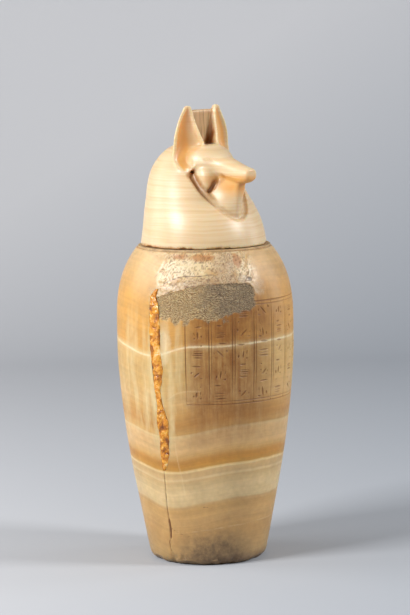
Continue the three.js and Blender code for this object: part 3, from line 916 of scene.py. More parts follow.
@dataclass
class Jar:
    """The hollow jar: turned, drilled out, engraved, cracked and worn."""

    shape: JarShape = field(default_factory=JarShape)
    panel: Panel = field(default_factory=Panel)
    fissure: Fissure = field(default_factory=Fissure)
    finish: BandedCalcite = field(default_factory=BandedCalcite)
    # Edges of the flaked patch beside the fissure: azimuth and height.
    patch_top: tuple[tuple[float, float], ...] = (
        (-80, 238), (-70, 241), (-62, 244.5), (-53, 248), (-44, 250), (-33, 251.6), (-16, 250.6),
        (-8, 250), (-4, 243),
    )
    patch_bottom: tuple[tuple[float, float], ...] = (
        (-80, 224), (-70, 220.5), (-53, 219.6), (-43, 222), (-34, 217.7), (-24, 222), (-17, 227),
        (-6, 233), (-2, 240),
    )
    patch_sides: tuple[float, float] = (-78.0, -6.0)
    # How far the layers dip or rise round the jar: azimuth and mm.
    dips: tuple[tuple[float, float], ...] = (
        (-180, 1), (-122, 1), (-98, 0), (-78, -5), (-62, -4.5), (-50, -2), (-35, 1.5), (-20, 4),
        (10, 4.5), (40, 3.5), (100, 3), (180, 1),
    )
    # The milky vein round the jar: azimuth and height.
    vein: tuple[tuple[float, float], ...] = (
        (-180, 203), (-150, 201), (-122, 198), (-100, 194), (-84, 189.5), (-74, 189), (-66, 192),
        (-54, 197), (-43, 198), (-28, 198), (-14, 199), (12, 200), (40, 200), (80, 204),
        (110, 205), (150, 204), (180, 203),
    )
    # Short milky seams: half width in mm, then places as azimuth and height.
    seams: tuple[tuple[float, tuple[tuple[float, float], ...]], ...] = (
        (0.2, ((-66, 151), (-63, 154), (-59, 157), (-51, 159), (-44, 159))),
        (0.15, ((-63, 112), (-62, 97), (-60, 84), (-58, 66))),
        (0.1, ((-55, 31), (-50, 32), (-21, 36), (10, 38), (34, 38))),
        (0.1, ((-104, 150), (-102, 128), (-100, 110))),
        (0.1, ((70, 175), (95, 168), (130, 170))),
    )
    # Open cracks under the fissure and beside it, as the veins are.
    cracks: tuple[tuple[float, tuple[tuple[float, float], ...]], ...] = (
        (0.35, ((-74.4, 88), (-74.4, 80), (-75.4, 62), (-75.8, 53), (-75.6, 42))),
        (1.0, ((-75.6, 41), (-75.2, 33), (-76.3, 25))),
        (0.3, ((-76.3, 24), (-78.7, 20), (-78, 12))),
        (0.2, ((-76, 35), (-70, 31), (-63, 28), (-57, 27))),
        (0.1, ((-73, 248), (-72, 256), (-70, 262))),
    )
    # Scratches and specks in the polish, as the veins are, and one line of painted shadow under the
    # flaked patch's upper step.
    marks: tuple[tuple[float, tuple[tuple[float, float], ...]], ...] = (
        (0.0, ((-77, 256), (-75.5, 259), (-73, 261), (-70.5, 260.5))),
        (0.0, ((-71, 263), (-72, 266), (-71.5, 269))),
        (0.1, ((-80, 273), (-83, 275), (-87, 276), (-91, 276.5))),
        (1.7, ((-7.3, 254.3), (-6.9, 254.2))),
        # Painted shadow under the flaked patch's upper step, also cut a little into the stone.
        (0.3, ((-67, 243), (-58, 247), (-44, 250.4), (-33, 251.8), (-16, 250.9), (-8, 250))),
        (0.4, ((-69, 251), (-61, 256), (-52, 258), (-43, 258), (-38, 259))),
        (0.1, ((-30, 251.5), (-31, 246), (-29.5, 241))),
        (0.3, ((-44, 54), (-42, 54.6), (-40, 54.2))),
        (0.2, ((118, 214), (121, 209), (120, 203))),
    )

    def columns(self, fine: bool) -> np.ndarray:
        """Azimuths of a ring's points, closer together over the worn front.

        Args:
            fine: whether the ring crosses the worn patch.

        Returns:
            Sorted azimuths in degrees from -180 up.
        """
        if not fine:
            return np.concatenate([
                np.linspace(-180, -82, 46, endpoint=False), np.linspace(-82, -54, 42, endpoint=False),
                np.linspace(-54, 60, 66, endpoint=False), np.linspace(60, 180, 56, endpoint=False),
            ])
        return np.concatenate([
            np.linspace(-180, -82, 54, endpoint=False), np.linspace(-82, -2, 144, endpoint=False),
            np.linspace(-2, 56, 60, endpoint=False), np.linspace(56, 180, 64, endpoint=False),
        ])

    def profile(self) -> list[tuple[float, float, bool]]:
        """The wall's outline from under the foot, up the side and down into the hollow.

        Returns:
            Radius, height and whether the ring is a fine one.
        """
        shape = self.shape
        neck = shape.height - shape.collar_height
        under = [(r, 0.0) for r in (6, 16, 26, 35, 41, 44)]
        foot = np.concatenate([np.linspace(0, 6, 11), np.linspace(6.8, 14, 9)])
        lower = np.linspace(15.6, 143, 80)
        upper = np.concatenate([
            np.linspace(144.2, 212, 62), np.linspace(212.8, 256, 56), np.linspace(257, neck, 21),
        ])
        rows = [(r, h, False) for r, h in under]
        rows += [(float(shape.radius(h)), float(h), False) for h in [*foot, *lower]]
        rows += [(float(shape.radius(h)), float(h), True) for h in upper]
        collar, mouth = shape.collar_radius, shape.mouth_radius
        rows += [(collar, neck + 0.3, True), (collar, neck + 0.9, True), (collar - 0.1, 278.5, True),
                 (collar - 0.4, 278.9, True), (collar - 1, 279, True)]
        rows += [(r, 279.0, False) for r in np.linspace(collar - 2.2, mouth + 0.8, 12)]
        rows += [(mouth + 0.2, 278.8, False), (mouth, 278.2, False)]
        rows += [(mouth, h, False) for h in (275, 272, 269, 266.5)]
        rows += [(mouth, shape.height - shape.mouth_depth, False), (44, 261.7, False),
                 (mouth + 12, 259, False)]
        walls = [(float(shape.radius(h)) - shape.wall, h) for h in (230, 190, 140, 90)]
        rows += [(56.5, 246, False)]
        for (r0, h0), (r1, h1) in zip(walls, walls[1:]):
            rows += [(r0 + (r1 - r0) * t, h0 + (h1 - h0) * t, False) for t in (0, 0.34, 0.67)]
        rows.append((*walls[-1], False))
        corner = 14.0
        wall = float(shape.radius(shape.floor + corner)) - shape.wall
        for angle in np.radians([90, 68, 45, 22, 0]):
            rows.append((wall - corner * (1 - math.sin(angle)),
                         shape.floor + corner * (1 - math.cos(angle)), False))
        rows += [(r, shape.floor, False) for r in (18, 8)]
        return rows

    def turned(self) -> bpy.types.Object:
        """The smooth turned and drilled jar.

        Returns:
            A closed mesh, rings of points zipped together and closed at both centres.
        """
        rings = self.profile()
        points: list[np.ndarray] = [np.array([[0.0, 0.0, 0.0]])]
        faces: list[tuple[int, ...]] = []
        count, before = 1, None
        for radius, height, fine in rings:
            turn = self.columns(fine)
            wave = np.radians(turn)
            points.append(np.stack([radius * np.sin(wave), -radius * np.cos(wave),
                                    np.full(len(turn), height)], axis=1))
            sides = len(turn)
            if before is None:
                faces += [(0, count + (i + 1) % sides, count + i) for i in range(sides)]
            elif len(before[1]) == sides:
                start = before[0]
                faces += [(start + i, start + (i + 1) % sides, count + (i + 1) % sides, count + i)
                          for i in range(sides)]
            else:
                faces += self.zipped(before[0], before[1], count, turn)
            before = (count, turn)
            count += sides
        points.append(np.array([[0.0, 0.0, self.shape.floor]]))
        start, sides = before[0], len(before[1])
        faces += [(start + i, start + (i + 1) % sides, count) for i in range(sides)]
        return mesh_object("jar_stone", np.concatenate(points), faces)

    @staticmethod
    def zipped(
        low: int, low_turn: np.ndarray, high: int, high_turn: np.ndarray
    ) -> list[tuple[int, int, int]]:
        """Triangles between two rings with different counts of points.

        Args:
            low: the first vertex of the lower ring.
            low_turn: its azimuths.
            high: the first vertex of the upper ring.
            high_turn: its azimuths.

        Returns:
            Triangles that face outwards.
        """
        made: list[tuple[int, int, int]] = []
        n, m = len(low_turn), len(high_turn)
        a, b = [*low_turn, low_turn[0] + 360], [*high_turn, high_turn[0] + 360]
        i = j = 0
        while i < n or j < m:
            if j >= m or (i < n and a[i + 1] <= b[j + 1]):
                made.append((low + i % n, low + (i + 1) % n, high + j % m))
                i += 1
            else:
                made.append((low + i % n, high + (j + 1) % m, high + j % m))
                j += 1
        return made

    def engrave(self, stone: bpy.types.Object, material: bpy.types.Material) -> None:
        """Cuts the panel's rules and strokes into the stone.

        Args:
            stone: the turned jar.
            material: the jar's material.
        """
        cuts = CutTree()
        rules, strokes = self.panel.rules(), self.panel.strokes()

        def laid(lines: list[list[tuple[float, float]]]) -> list[np.ndarray]:
            """Points over the side for lines of azimuth and height."""
            return [self.shape.point(*np.array(line).T) for line in lines]

        for lines, tool, blunt in [
            (rules["level"], Tool.RULE, 0.8),
            (rules["upright"], Tool.RULE, 0.6),
            (rules["fine_level"], Tool.FINE_RULE, 0.6),
            (rules["fine"], Tool.FINE_RULE, 0.4),
            (strokes["broad"], Tool.CHISEL, 0.3),
            (strokes["fine"], Tool.FINE_RULE, 0.3),
        ]:
            take_away(stone, cuts.cutters(laid(lines), stone, tool, material, blunt))

    def chase(self, stone: bpy.types.Object) -> None:
        """Opens the fissure, a ragged cut that the resin fills.

        Args:
            stone: the engraved jar.
        """
        heights = np.arange(87.0, 246.6, 1.1)
        middle, width = self.fissure.middle(heights), self.fissure.width(heights)
        shift = np.stack([heights, heights * 0, heights * 0], axis=1)
        left = middle - width / 2 - 0.35 * noise(shift, 3.0, 5, 2) - 0.1
        right = middle + width / 2 + 0.35 * noise(shift, 3.0, 6, 2) + 0.1
        turn = math.radians(self.fissure.azimuth)
        outward = np.array([math.sin(turn), -math.cos(turn), 0])
        across = np.array([math.cos(turn), math.sin(turn), 0])
        rings = []
        for h, a, b in zip(heights, left, right):
            radius = float(self.shape.radius(h))
            corners = [(a, radius - 3), (b, radius - 3), (b, radius + 6), (a, radius + 6)]
            rings.append([across * s + outward * r + [0, 0, h] for s, r in corners])
        take_away(stone, mesh_object("chase", *loft(np.array(rings))))

    def inside(
        self, points: np.ndarray, rails: tuple[tuple[float, tuple[tuple[float, float], ...]], ...]
    ) -> np.ndarray:
        """How far points lie inside any of some lines over the side.

        Args:
            points: places in mm.
            rails: half width in mm and the azimuths and heights of each line.

        Returns:
            Half width less distance in mm, largest over the lines.
        """
        best = np.full(len(points), -30.0)
        for half, rail in rails:
            span = max(abs(rail[i + 1][0] - rail[i][0]) * 1.3 + abs(rail[i + 1][1] - rail[i][1])
                       for i in range(len(rail) - 1))
            steps = (len(rail) - 1) * max(2, int(span / 7))
            turn, height = along([list(place) for place in rail], steps).T
            line = self.shape.point(turn, height)
            near = np.where(np.abs(points[:, 2] - height.mean()) < np.ptp(height) / 2 + 30)[0]
            best[near] = np.maximum(best[near], half - rail_distance(points[near], line))
        return best

    @staticmethod
    def spot(azimuth: np.ndarray, height: np.ndarray, reach: np.ndarray,
             middle: tuple[float, float], size: tuple[float, float]) -> np.ndarray:
        """How far points lie inside an oval on the side, in mm.

        Args:
            azimuth: of the points, in degrees.
            height: of the points, in mm.
            reach: mm round the side for each degree.
            middle: the oval's azimuth and height.
            size: half its breadth and half its height in mm.

        Returns:
            Positive inside.
        """
        across = (azimuth - middle[0]) * reach / size[0]
        return (1 - np.hypot(across, (height - middle[1]) / size[1])) * min(size)

    def wear(self, stone: bpy.types.Object) -> None:
        """Wears, flakes and chips the surface, and writes what the material reads.

        Args:
            stone: the engraved jar.
        """
        shape = self.shape
        points = coordinates(stone)
        radius = np.hypot(points[:, 0], points[:, 1])
        azimuth = np.degrees(np.arctan2(points[:, 0], -points[:, 1]))
        height = points[:, 2]
        nominal = shape.radius(height)
        depth = nominal - radius
        side = (depth < 3.6) & (height < 277.5) & (height > 0.01)
        reach = np.radians(1) * nominal  # mm for each degree round the side
        place = (azimuth, height, reach)

        # Signed distances in mm, positive inside the patch.
        top = np.interp(azimuth, *np.array(self.patch_top).T)
        bottom = np.interp(azimuth, *np.array(self.patch_bottom).T)
        left, right = self.patch_sides
        wobble = 1.3 * noise(points, 7, 21, 3)
        patch = np.minimum.reduce([
            (top - height) + 0.5 * wobble, (height - bottom) * 0.8 + 3.2 * wobble,
            (azimuth - left) * reach + wobble, (right - azimuth) * reach + wobble,
        ])
        pits = noise(points, 2.6, 31, 3)
        flaked = smooth(-0.2, 0.9, patch) * (0.8 + 0.3 * pits + 0.25 * noise(points, 9, 33, 2))
        flaked *= 0.35 + 0.65 * smooth(0, 9, height - bottom)

        # Between the patch and the rim a thinner skin has flaked off in plates.
        ragged = noise(points, 8, 41, 3)
        skin = np.minimum.reduce([
            (azimuth + 76) * reach * 0.6, (-1 - azimuth) * reach * 0.6, height - top,
            (278.5 - height) * 2,
        ]) + 3 * ragged
        steps = 4.2 * noise(points * [1, 1, 1.7], 15, 45, 5) + 0.25 * (height - 262) / 4
        part = steps - np.floor(steps)
        terrace = np.clip(np.floor(steps) + smooth(0.4, 0.6, part) + 2, 0, 5)
        # The dark line that the material paints along each step's edge is painted shade; it also roughens
        # the polish.
        edge = smooth(0.2, 0.05, np.abs(part - 0.5)) * smooth(0.5, 3, skin)
        grey = np.maximum(self.spot(*place, (-25, 267), (10, 12)),
                          np.minimum(3.5 - np.abs(height - top - 3.5), skin * 0.5))
        rust = np.maximum(self.spot(*place, (-43, 273), (10, 2.6)),
                          self.spot(*place, (-60, 274), (6, 2)))
        rust = np.maximum(rust, self.spot(*place, (-14, 270), (4, 5)))
        cream = self.spot(*place, (-52, 265), (24, 8)) + 2.2 * ragged
        white = self.spot(*place, (-13, 262), (4, 9)) + 1.6 * ragged
        chip = self.spot(*place, (-67.5, 201), (2.6, 9)) + 0.4 * ragged
        plates = (0.14 * terrace + 0.2 * smooth(-2, 2, grey + 2 * ragged) * (1 + pits))
        plates = plates * smooth(-0.5, 1.5, skin) + 0.3 * smooth(0, 0.4, chip)

        # The foot is battered: chips bite into its edge.
        chips = smooth(0.05, 0.7, noise(points * [1, 1, 0.8], 7, 51, 3) + 0.55 - height / 13)
        foot = chips * 1.7 * smooth(16, 2, height)
        foot += smooth(14, 0, height) * 0.25 * (1 + noise(points, 2.4, 52, 2))
        rim = smooth(270, 277, height) * smooth(0.15, 0.8, noise(points, 8, 61, 3)) * 1.1
        crack = self.inside(points, self.cracks)
        marks = self.inside(points, self.marks)
        split = 1.0 * smooth(-0.5, 0.7, crack) + 0.4 * smooth(-0.5, 0.3, marks)

        relief = np.maximum.reduce([flaked, plates, foot, rim, split])
        drift = 0.16 * (1 + noise(points, 26, 71, 2))  # the hand-turned wall is never quite true
        worn = np.maximum(depth, np.where(depth < 2.2, relief, depth)) + drift
        share = np.where(side, (nominal - worn) / np.maximum(radius, 1e-6), 1)
        points[:, :2] *= share[:, None]
        under = (height < 0.01) & (radius < 46)
        points[under, 2] += 0.12 * (1 + noise(points[under] * [1, 1, 0], 9, 81, 2))
        move_to(stone, points)

        far = np.full(len(points), -30.0)
        middle = smooth(-58, -44, azimuth) * smooth(26, -22, azimuth)
        shallow = side & (depth < 1.0) & (height < 238) & (height > 140)
        faded = smooth(1.2, -0.4, flaked)
        stain = np.exp(-(((azimuth + 34) / 36) ** 2))
        # Dirt darkens the foot, most round the front; the rim's painted shade is added below.
        dirt_and_joint_shade = smooth(52, 6, height) * (0.1 + 1.1 * stain) + 0.35 * smooth(12, 1, height)
        darker = 0.75 * middle * smooth(96, 150, height) * smooth(262, 246, height)
        darker += 0.3 * np.exp(-(((height - 222) / 12) ** 2)) * smooth(-50, -30, azimuth) \
            * smooth(40, 10, azimuth)
        for name, values in {
            "layer": height - np.interp(azimuth, *along([list(row) for row in self.dips], 120).T),
            "vein": height - np.interp(azimuth, *along([list(row) for row in self.vein], 160).T),
            "seam": self.inside(points, self.seams),
            "tan": smooth(-15, -60, azimuth) * 0.65 + 0.12,
            "patina": np.clip(darker, 0, 0.9),
            "smear": smooth(245, 190, height) * smooth(95, 130, height)
            * (smooth(-125, -90, azimuth) * smooth(-48, -56, azimuth) + 0.3),
            "cut": np.where(shallow, np.clip(depth / 0.5, 0, 1) * faded, 0) - 0.3,
            "crack": np.where(side, crack, far),
            "mark": np.where(side, marks, far),
            "patch": np.where(side, patch, far),
            "ashen": np.where(side, grey, far),
            "skin": np.where(side, skin, far),
            "plate": np.floor(steps + 0.5) * 0.381 % 1.0,
            "edge": np.where(side, edge, 0) * 0.7,
            "flake": np.where(side, rust, far),
            "pale": np.where(side, np.maximum.reduce([cream - 1, white, chip + 2]), far),
            # The top of the rim is darkened as painted shade where the stopper meets the jar.
            "dirt_and_joint_shade": np.clip(dirt_and_joint_shade + 0.8 * smooth(274, 279, height), 0, 1),
        }.items():
            paint(stone, name, values)

    def build(self) -> bpy.types.Object:
        """Builds and dresses the jar.

        Returns:
            The jar's stone, in place of the CAD node.
        """
        material = self.finish.material()
        stone = self.turned()
        stone.data.materials.append(material)
        self.engrave(stone, material)
        self.chase(stone)
        self.wear(stone)
        stone.data.materials.clear()
        stone.data.materials.append(material)
        rounded(stone, 38)
        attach(stone, "root")
        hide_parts("jar")
        return stone


@dataclass
class FissureFill:
    """The resin in the fissure: lumpy, glassy and a little proud of the stone."""

    shape: JarShape = field(default_factory=JarShape)
    fissure: Fissure = field(default_factory=Fissure)
    finish: AmberResin = field(default_factory=AmberResin)
    across: int = 15

    def build(self) -> bpy.types.Object:
        """Builds and dresses the fill.

        Returns:
            One closed mesh, in place of the CAD node.
        """
        heights = np.arange(86.4, 246.9, 0.7)
        middle, width = self.fissure.middle(heights), self.fissure.width(heights)
        shift = np.stack([heights, heights * 0, heights * 0], axis=1)
        left = middle - width / 2 - 0.7 * noise(shift, 5.0, 7, 3)
        right = middle + width / 2 + 0.7 * noise(shift, 5.0, 8, 3)
        turn = math.radians(self.fissure.azimuth)
        outward = np.array([math.sin(turn), -math.cos(turn), 0])
        across = np.array([math.cos(turn), math.sin(turn), 0])
        rings = []
        shares = np.linspace(0, 1, self.across)
        for h, a, b in zip(heights, left, right):
            side = a + (b - a) * shares
            face = np.sqrt(np.maximum(float(self.shape.radius(h)) ** 2 - side**2, 0))
            front = np.outer(side, across) + [0, 0, h]
            lump = noise(front * 1.0, 4.2, 91, 3)
            proud = np.sin(shares * math.pi) ** 0.5 * (0.5 + 0.75 * lump) - 0.12
            back = front + np.outer(face - 2.6, outward)
            front = front + np.outer(face + proud, outward)
            rings.append(np.concatenate([front, back[::-1]]))
        fill = mesh_object("fissure_resin", *loft(np.array(rings)))
        fill.data.materials.append(self.finish.material())
        rounded(fill, 60)
        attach(fill, "root")
        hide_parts("fissure_fill")
        return fill


# ---- The stopper --------------------------------------------------------------------------


@dataclass
class JackalLid:
    """The stopper: a plug, a smooth wig and a jackal's head with tall joined ears."""

    bottom: float = 279.3
    face_cut: float = 73.5
    plug_radius: float = 36.5
    plug_depth: float = 9.0
    ear_rim: float = 2.0
    voxel: float = 0.83
    finish: PaleCalcite = field(default_factory=PaleCalcite)
    # The smooth wig: rise over the rim, how far its middle sits back, radius.
    wig_rows: tuple[tuple[float, float, float], ...] = (
        (0, 0.5, 55.7), (12, 0.8, 53.7), (22, 2.2, 51.7), (32, 5, 48.9), (42, 8.5, 45.2),
        (52, 12, 41.8), (62, 14.6, 37.6), (71, 15.6, 32.6), (79, 15.9, 26), (85, 16, 17.8),
        (88, 16, 9), (89, 16, 2),
    )
    # Skull and muzzle: reach, rise of the middle, half width, height over and under it.
    skull_rows: tuple[tuple[float, ...], ...] = (
        (-12, 64, 18.5, 19, 14), (0, 67.5, 22.5, 19.5, 16), (11, 69.5, 22.5, 18.3, 16),
        (20, 69.5, 18.5, 15, 13), (27, 69, 14, 11.2, 9), (34, 68, 10.8, 9.6, 7.8),
        (43, 66, 9.2, 8.8, 8.8), (52, 63.8, 8.2, 8.2, 8.2), (59, 63, 7.4, 7.2, 6.8),
        (64, 63.8, 6.2, 5.4, 5.6), (65.6, 64.2, 4.6, 3.8, 4.2),
    )
    # The jaws: rise, reach of the middle, half length, half width.
    jaw_rows: tuple[tuple[float, ...], ...] = (
        (48.8, 22.5, 6.5, 17), (52, 21.5, 9, 19.5), (58, 19.5, 12, 20.8), (63, 17, 13.5, 21.2),
        (68, 13.5, 15, 20),
    )
    # The throat: rise, the front's reach and half width, the root's reach and half width.
    throat_rows: tuple[tuple[float, ...], ...] = (
        (26.5, 46.2, 3.2, 42.5, 11), (32, 47.2, 3.8, 40.5, 13), (40, 49, 4.3, 34, 14),
        (48, 51, 4.7, 28, 13), (56, 52.8, 5, 23, 11), (63, 53.6, 4.4, 20, 9),
    )
    # An ear: rise, reach, side, half width, depth of back, depth of scoop, turn outwards.
    ear_rows: tuple[tuple[float, ...], ...] = (
        (63.5, 10, 26.5, 3, 5, 0.2, 62), (68, 9, 27.2, 7, 9, 1.2, 58),
        (76, 7, 24.2, 12.4, 11, 4, 44), (87, 5.6, 20, 14, 10.5, 6, 33),
        (98, 3.8, 20, 11.4, 9, 5.4, 26), (109, 1.8, 18.8, 7.8, 7.6, 3.8, 19),
        (117, 1.2, 17.4, 4.8, 6.4, 1.8, 18), (120.6, 1, 16.9, 3.2, 5.2, 0.6, 18),
        (121.6, 1, 16.6, 2, 4, 0.2, 18),
    )

    def at(self, reach: Any, side: Any, rise: Any) -> np.ndarray:
        """Points from reach (forward), side (the jackal's left) and rise over the rim."""
        reach, side, rise = np.broadcast_arrays(*[np.asarray(v, float) for v in (reach, side, rise)])
        return np.stack([side, -reach, rise + self.bottom], axis=-1)

    def oval(self, sides: int, power: float) -> tuple[np.ndarray, np.ndarray]:
        """A unit oval whose power squares its corners, as two rows of values."""
        turn = np.linspace(0, 2 * math.pi, sides, endpoint=False)
        c, s = np.cos(turn), np.sin(turn)
        return (np.sign(c) * np.abs(c) ** (2 / power), np.sign(s) * np.abs(s) ** (2 / power))

    def wig(self) -> bpy.types.Object:
        """The wig, cut off on a slope for the face."""
        turn = np.linspace(0, 2 * math.pi, 120, endpoint=False)
        rings = [self.at(r * np.cos(turn) - back, r * np.sin(turn), rise)
                 for rise, back, r in along([list(row) for row in self.wig_rows], 50)]
        wig = mesh_object("wig", *loft(np.array(rings)))
        low, high = self.at(-80, -90, self.face_cut + 80), self.at(90, -90, self.face_cut - 90)
        up = np.array([0, -80.0, 80.0])
        wide = np.array([180.0, 0, 0])
        corners = [low, high, high + up, low + up]
        slab = np.array([corners, [corner + wide for corner in corners]])
        take_away(wig, mesh_object("face_cut", *loft(slab)))
        return wig

    def masses(self) -> list[bpy.types.Object]:
        """The other rough masses of the head, overlapping each other.

        Returns:
            Closed meshes.
        """
        made = []
        rows = [list(row) for row in self.skull_rows]
        across, up = self.oval(56, 2.4)
        rings = [self.at(reach, across * w, middle + up * np.where(up > 0, over, under))
                 for reach, middle, w, over, under in along(rows, 60)]
        made.append(mesh_object("skull", *loft(np.array(rings))))
        ahead, across = self.oval(56, 2.8)
        rings = [self.at(middle + ahead * length, across * w, rise)
                 for rise, middle, length, w in along([list(row) for row in self.jaw_rows], 24)]
        made.append(mesh_object("jaws", *loft(np.array(rings))))
        rings = []
        for rise, front, half, root, root_half in along([list(r) for r in self.throat_rows], 24):
            reach = np.array([10, root, front - 1.5, front, front, front - 1.5, root, 10])
            side = np.array([-10, -root_half, -half, 1.5 - half, half - 1.5, half, root_half, 10])
            rings.append(self.at(reach, side, rise))
        made.append(mesh_object("throat", *loft(np.array(rings))))
        turn = np.linspace(0, 2 * math.pi, 96, endpoint=False)
        plug = [(self.plug_radius - 1.5, -self.plug_depth), (self.plug_radius, 1.5 - self.plug_depth),
                (self.plug_radius, 2)]
        rings = [self.at(r * np.cos(turn), r * np.sin(turn), rise) for r, rise in plug]
        made.append(mesh_object("plug", *loft(np.array(rings))))
        slab = [[self.at(reach, side, rise) for reach, side in [(-9, -14), (-1, -14), (-1, 14), (-9, 14)]]
                for rise in (62, 117.5)]
        made.append(mesh_object("web", *loft(np.array(slab))))
        made += [self.ear(hand) for hand in (1, -1)]
        return made

    def ear(self, hand: int) -> bpy.types.Object:
        """One ear, a scooped leaf of stone.

        Args:
            hand: 1 for the jackal's left, -1 for its right.

        Returns:
            A closed mesh.
        """
        rings = []
        for rise, reach, side, width, back, scoop, turn in along([list(r) for r in self.ear_rows], 60):
            outward = math.radians(turn)
            half = np.linspace(0, math.pi, 22)

            def arc(radius: float, depth: float) -> np.ndarray:
                """Half an oval behind the opening."""
                across, behind = -radius * np.cos(half), depth * np.sin(half)
                ahead = reach - across * math.sin(outward) - behind * math.cos(outward)
                out = side + across * math.cos(outward) - behind * math.sin(outward)
                return self.at(ahead, hand * out, rise)

            inner = arc(max(0.3, width - self.ear_rim), max(scoop, 0.05))
            rings.append(np.concatenate([arc(width, back), inner[::-1]]))
        return mesh_object("ear", *loft(np.array(rings)))

    def undercuts(self) -> list[tuple[float, np.ndarray]]:
        """Where a round tool worked into the stone.

        Returns:
            The tool's radius and its path, for both sides.
        """
        made = []
        for hand in (1, -1):
            for radius, rows in [
                (1.6, [(17, 27, 64), (8, 19, 65.5)]),
                (2.7, [(13, 24.4, 62.5), (17, 23.6, 57.5), (21.5, 22.9, 52), (26.5, 21.6, 47),
                       (32.5, 19, 41.2), (38, 15.6, 35.8), (43.6, 10.6, 30.2), (47.4, 5, 26.8),
                       (48.9, 0, 25.2)]),
                (1.6, [(3, 8, 97), (-2, 7.5, 88)]),
                (1.8, [(37, 10.5, 60), (30, 12.5, 55), (25, 15, 47)]),
            ]:
                path = np.array([self.at(reach, hand * side, rise) for reach, side, rise in rows])
                made.append((radius, path))
        return made

    def bored(self, radius: float, path: np.ndarray) -> bpy.types.Object:
        """A round cutter along a path."""
        dense = along([list(row) for row in path], 8 * (len(path) - 1))
        way = np.gradient(dense, axis=0)
        way /= np.linalg.norm(way, axis=1)[:, None]
        level = np.cross(way, [0.31, 0.2, 0.93])
        level /= np.linalg.norm(level, axis=1)[:, None]
        other = np.cross(way, level)
        turn = np.linspace(0, 2 * math.pi, 14, endpoint=False)
        rings = [p + radius * (np.outer(np.cos(turn), a) + np.outer(np.sin(turn), b))
                 for p, a, b in zip(dense, level, other)]
        return mesh_object("bored", *loft(np.array(rings)))

    def reskin(self, lid: bpy.types.Object, strokes: int) -> None:
        """Covers the masses with one even skin, and rubs its edges down.

        Args:
            lid: the masses in one object.
            strokes: how many times it is rubbed.
        """
        skin = lid.modifiers.new("skin", "REMESH")
        skin.mode, skin.voxel_size, skin.adaptivity = "VOXEL", self.voxel * MM, 0.0
        if strokes:
            ease = lid.modifiers.new("ease", "SMOOTH")
            ease.factor, ease.iterations = 0.5, strokes
        settle(lid)

    def incised(self) -> list[np.ndarray]:
        """Fine lines cut for the eyes and the mouth, on both sides.

        Returns:
            Points near the surface for each line.
        """
        made = []
        share = np.linspace(0, 1, 9)
        for hand in (1, -1):
            arch = np.sin(share * math.pi)
            ahead = 20.5 + 10.5 * share
            side = hand * (17.6 - 3.4 * share)
            made.append(self.at(ahead, side, 76.6 - 1.2 * share + 2.1 * arch))
            made.append(self.at(ahead, side, 76.6 - 1.2 * share - 1.3 * arch))
            made.append(self.at(19.5 + 12 * share, side, 80.2 - 1.5 * share + 1.6 * arch))
            made.append(self.at(63.5 - 25 * share, hand * (6.2 + 3.6 * share),
                                61.0 + 0.6 * share + 1.4 * share**2))
            made.append(self.at(65 - 1.4 * share, hand * (2.2 + 2.4 * share), 65.4 - share))
        return made

    def wear(self, lid: bpy.types.Object) -> None:
        """Chips the lower edge, and writes what the material reads.

        Args:
            lid: the carved stopper.
        """
        points = coordinates(lid)
        points[:, 2] = np.clip(points[:, 2], self.bottom - self.plug_depth, self.bottom + 121.6)
        rise, reach, side = points[:, 2] - self.bottom, -points[:, 1], points[:, 0]
        azimuth = np.degrees(np.arctan2(side, reach))
        radius = np.hypot(reach, side)
        # The edge has lost chips, most of all over the front of the jar.
        bite = noise(points * [1, 1, 0.4], 9, 101, 3) + 0.4 * np.exp(-(((azimuth + 25) / 40) ** 2))
        edge = smooth(0.1, 0.9, bite) * smooth(2.6, 0.3, rise) * smooth(51, 55, radius)
        edge *= rise > -0.5
        points[:, 2] += 1.1 * edge
        points[:, :2] *= (1 - 1.1 * edge / np.maximum(radius, 1))[:, None]
        move_to(lid, points)
        # Painted shade in and round the undercuts, stronger higher up the head.
        hollow = np.zeros(len(points))
        for size, path in self.undercuts():
            near = rail_distance(points, path)
            hollow = np.maximum(hollow, smooth(size + 4.2, size * 0.3, near)
                                * (0.3 + 0.7 * smooth(34, 58, rise)))
        paint(lid, "hollow", hollow)
        # The lower edge, where it meets the jar, is painted darker, most to one side.
        paint(lid, "dirt_and_joint_shade", smooth(5, 0, rise) * (0.35 + 0.65 * smooth(-20, -75, azimuth)
                                                 * smooth(-150, -110, azimuth)))
        # Painted glow inside the scoops of the ears.
        scoop = np.zeros(len(points))
        table = along([list(row) for row in self.ear_rows], 200)
        for hand in (1, -1):
            row = [np.interp(rise, table[:, 0], table[:, k]) for k in range(1, 7)]
            ahead, out, width, _, depth, turn = row
            turn = np.radians(turn)
            x, y = hand * side - out, reach - ahead
            across = x * np.cos(turn) - y * np.sin(turn)
            behind = -(x * np.sin(turn) + y * np.cos(turn))
            into = smooth(0.6, 2.4, width - self.ear_rim - np.abs(across))
            into *= smooth(-2.5, -0.5, behind) * smooth(2.4, 1.0, behind - depth)
            into *= 0.35 + 0.65 * smooth(-0.35, 0.2, across / np.maximum(width, 1))
            scoop = np.maximum(scoop, into * (rise > 66))
        paint(lid, "scoop", scoop)
        web = smooth(15, 12, np.abs(side)) * smooth(-11, -9, reach) * smooth(1.2, -0.2, reach)
        paint(lid, "web", web * smooth(84, 90, rise))
        # Painted glow under the muzzle.
        under = smooth(66, 60, rise) * smooth(22, 34, reach) * smooth(40, 52, rise)
        paint(lid, "amber", np.clip(under, 0, 1))

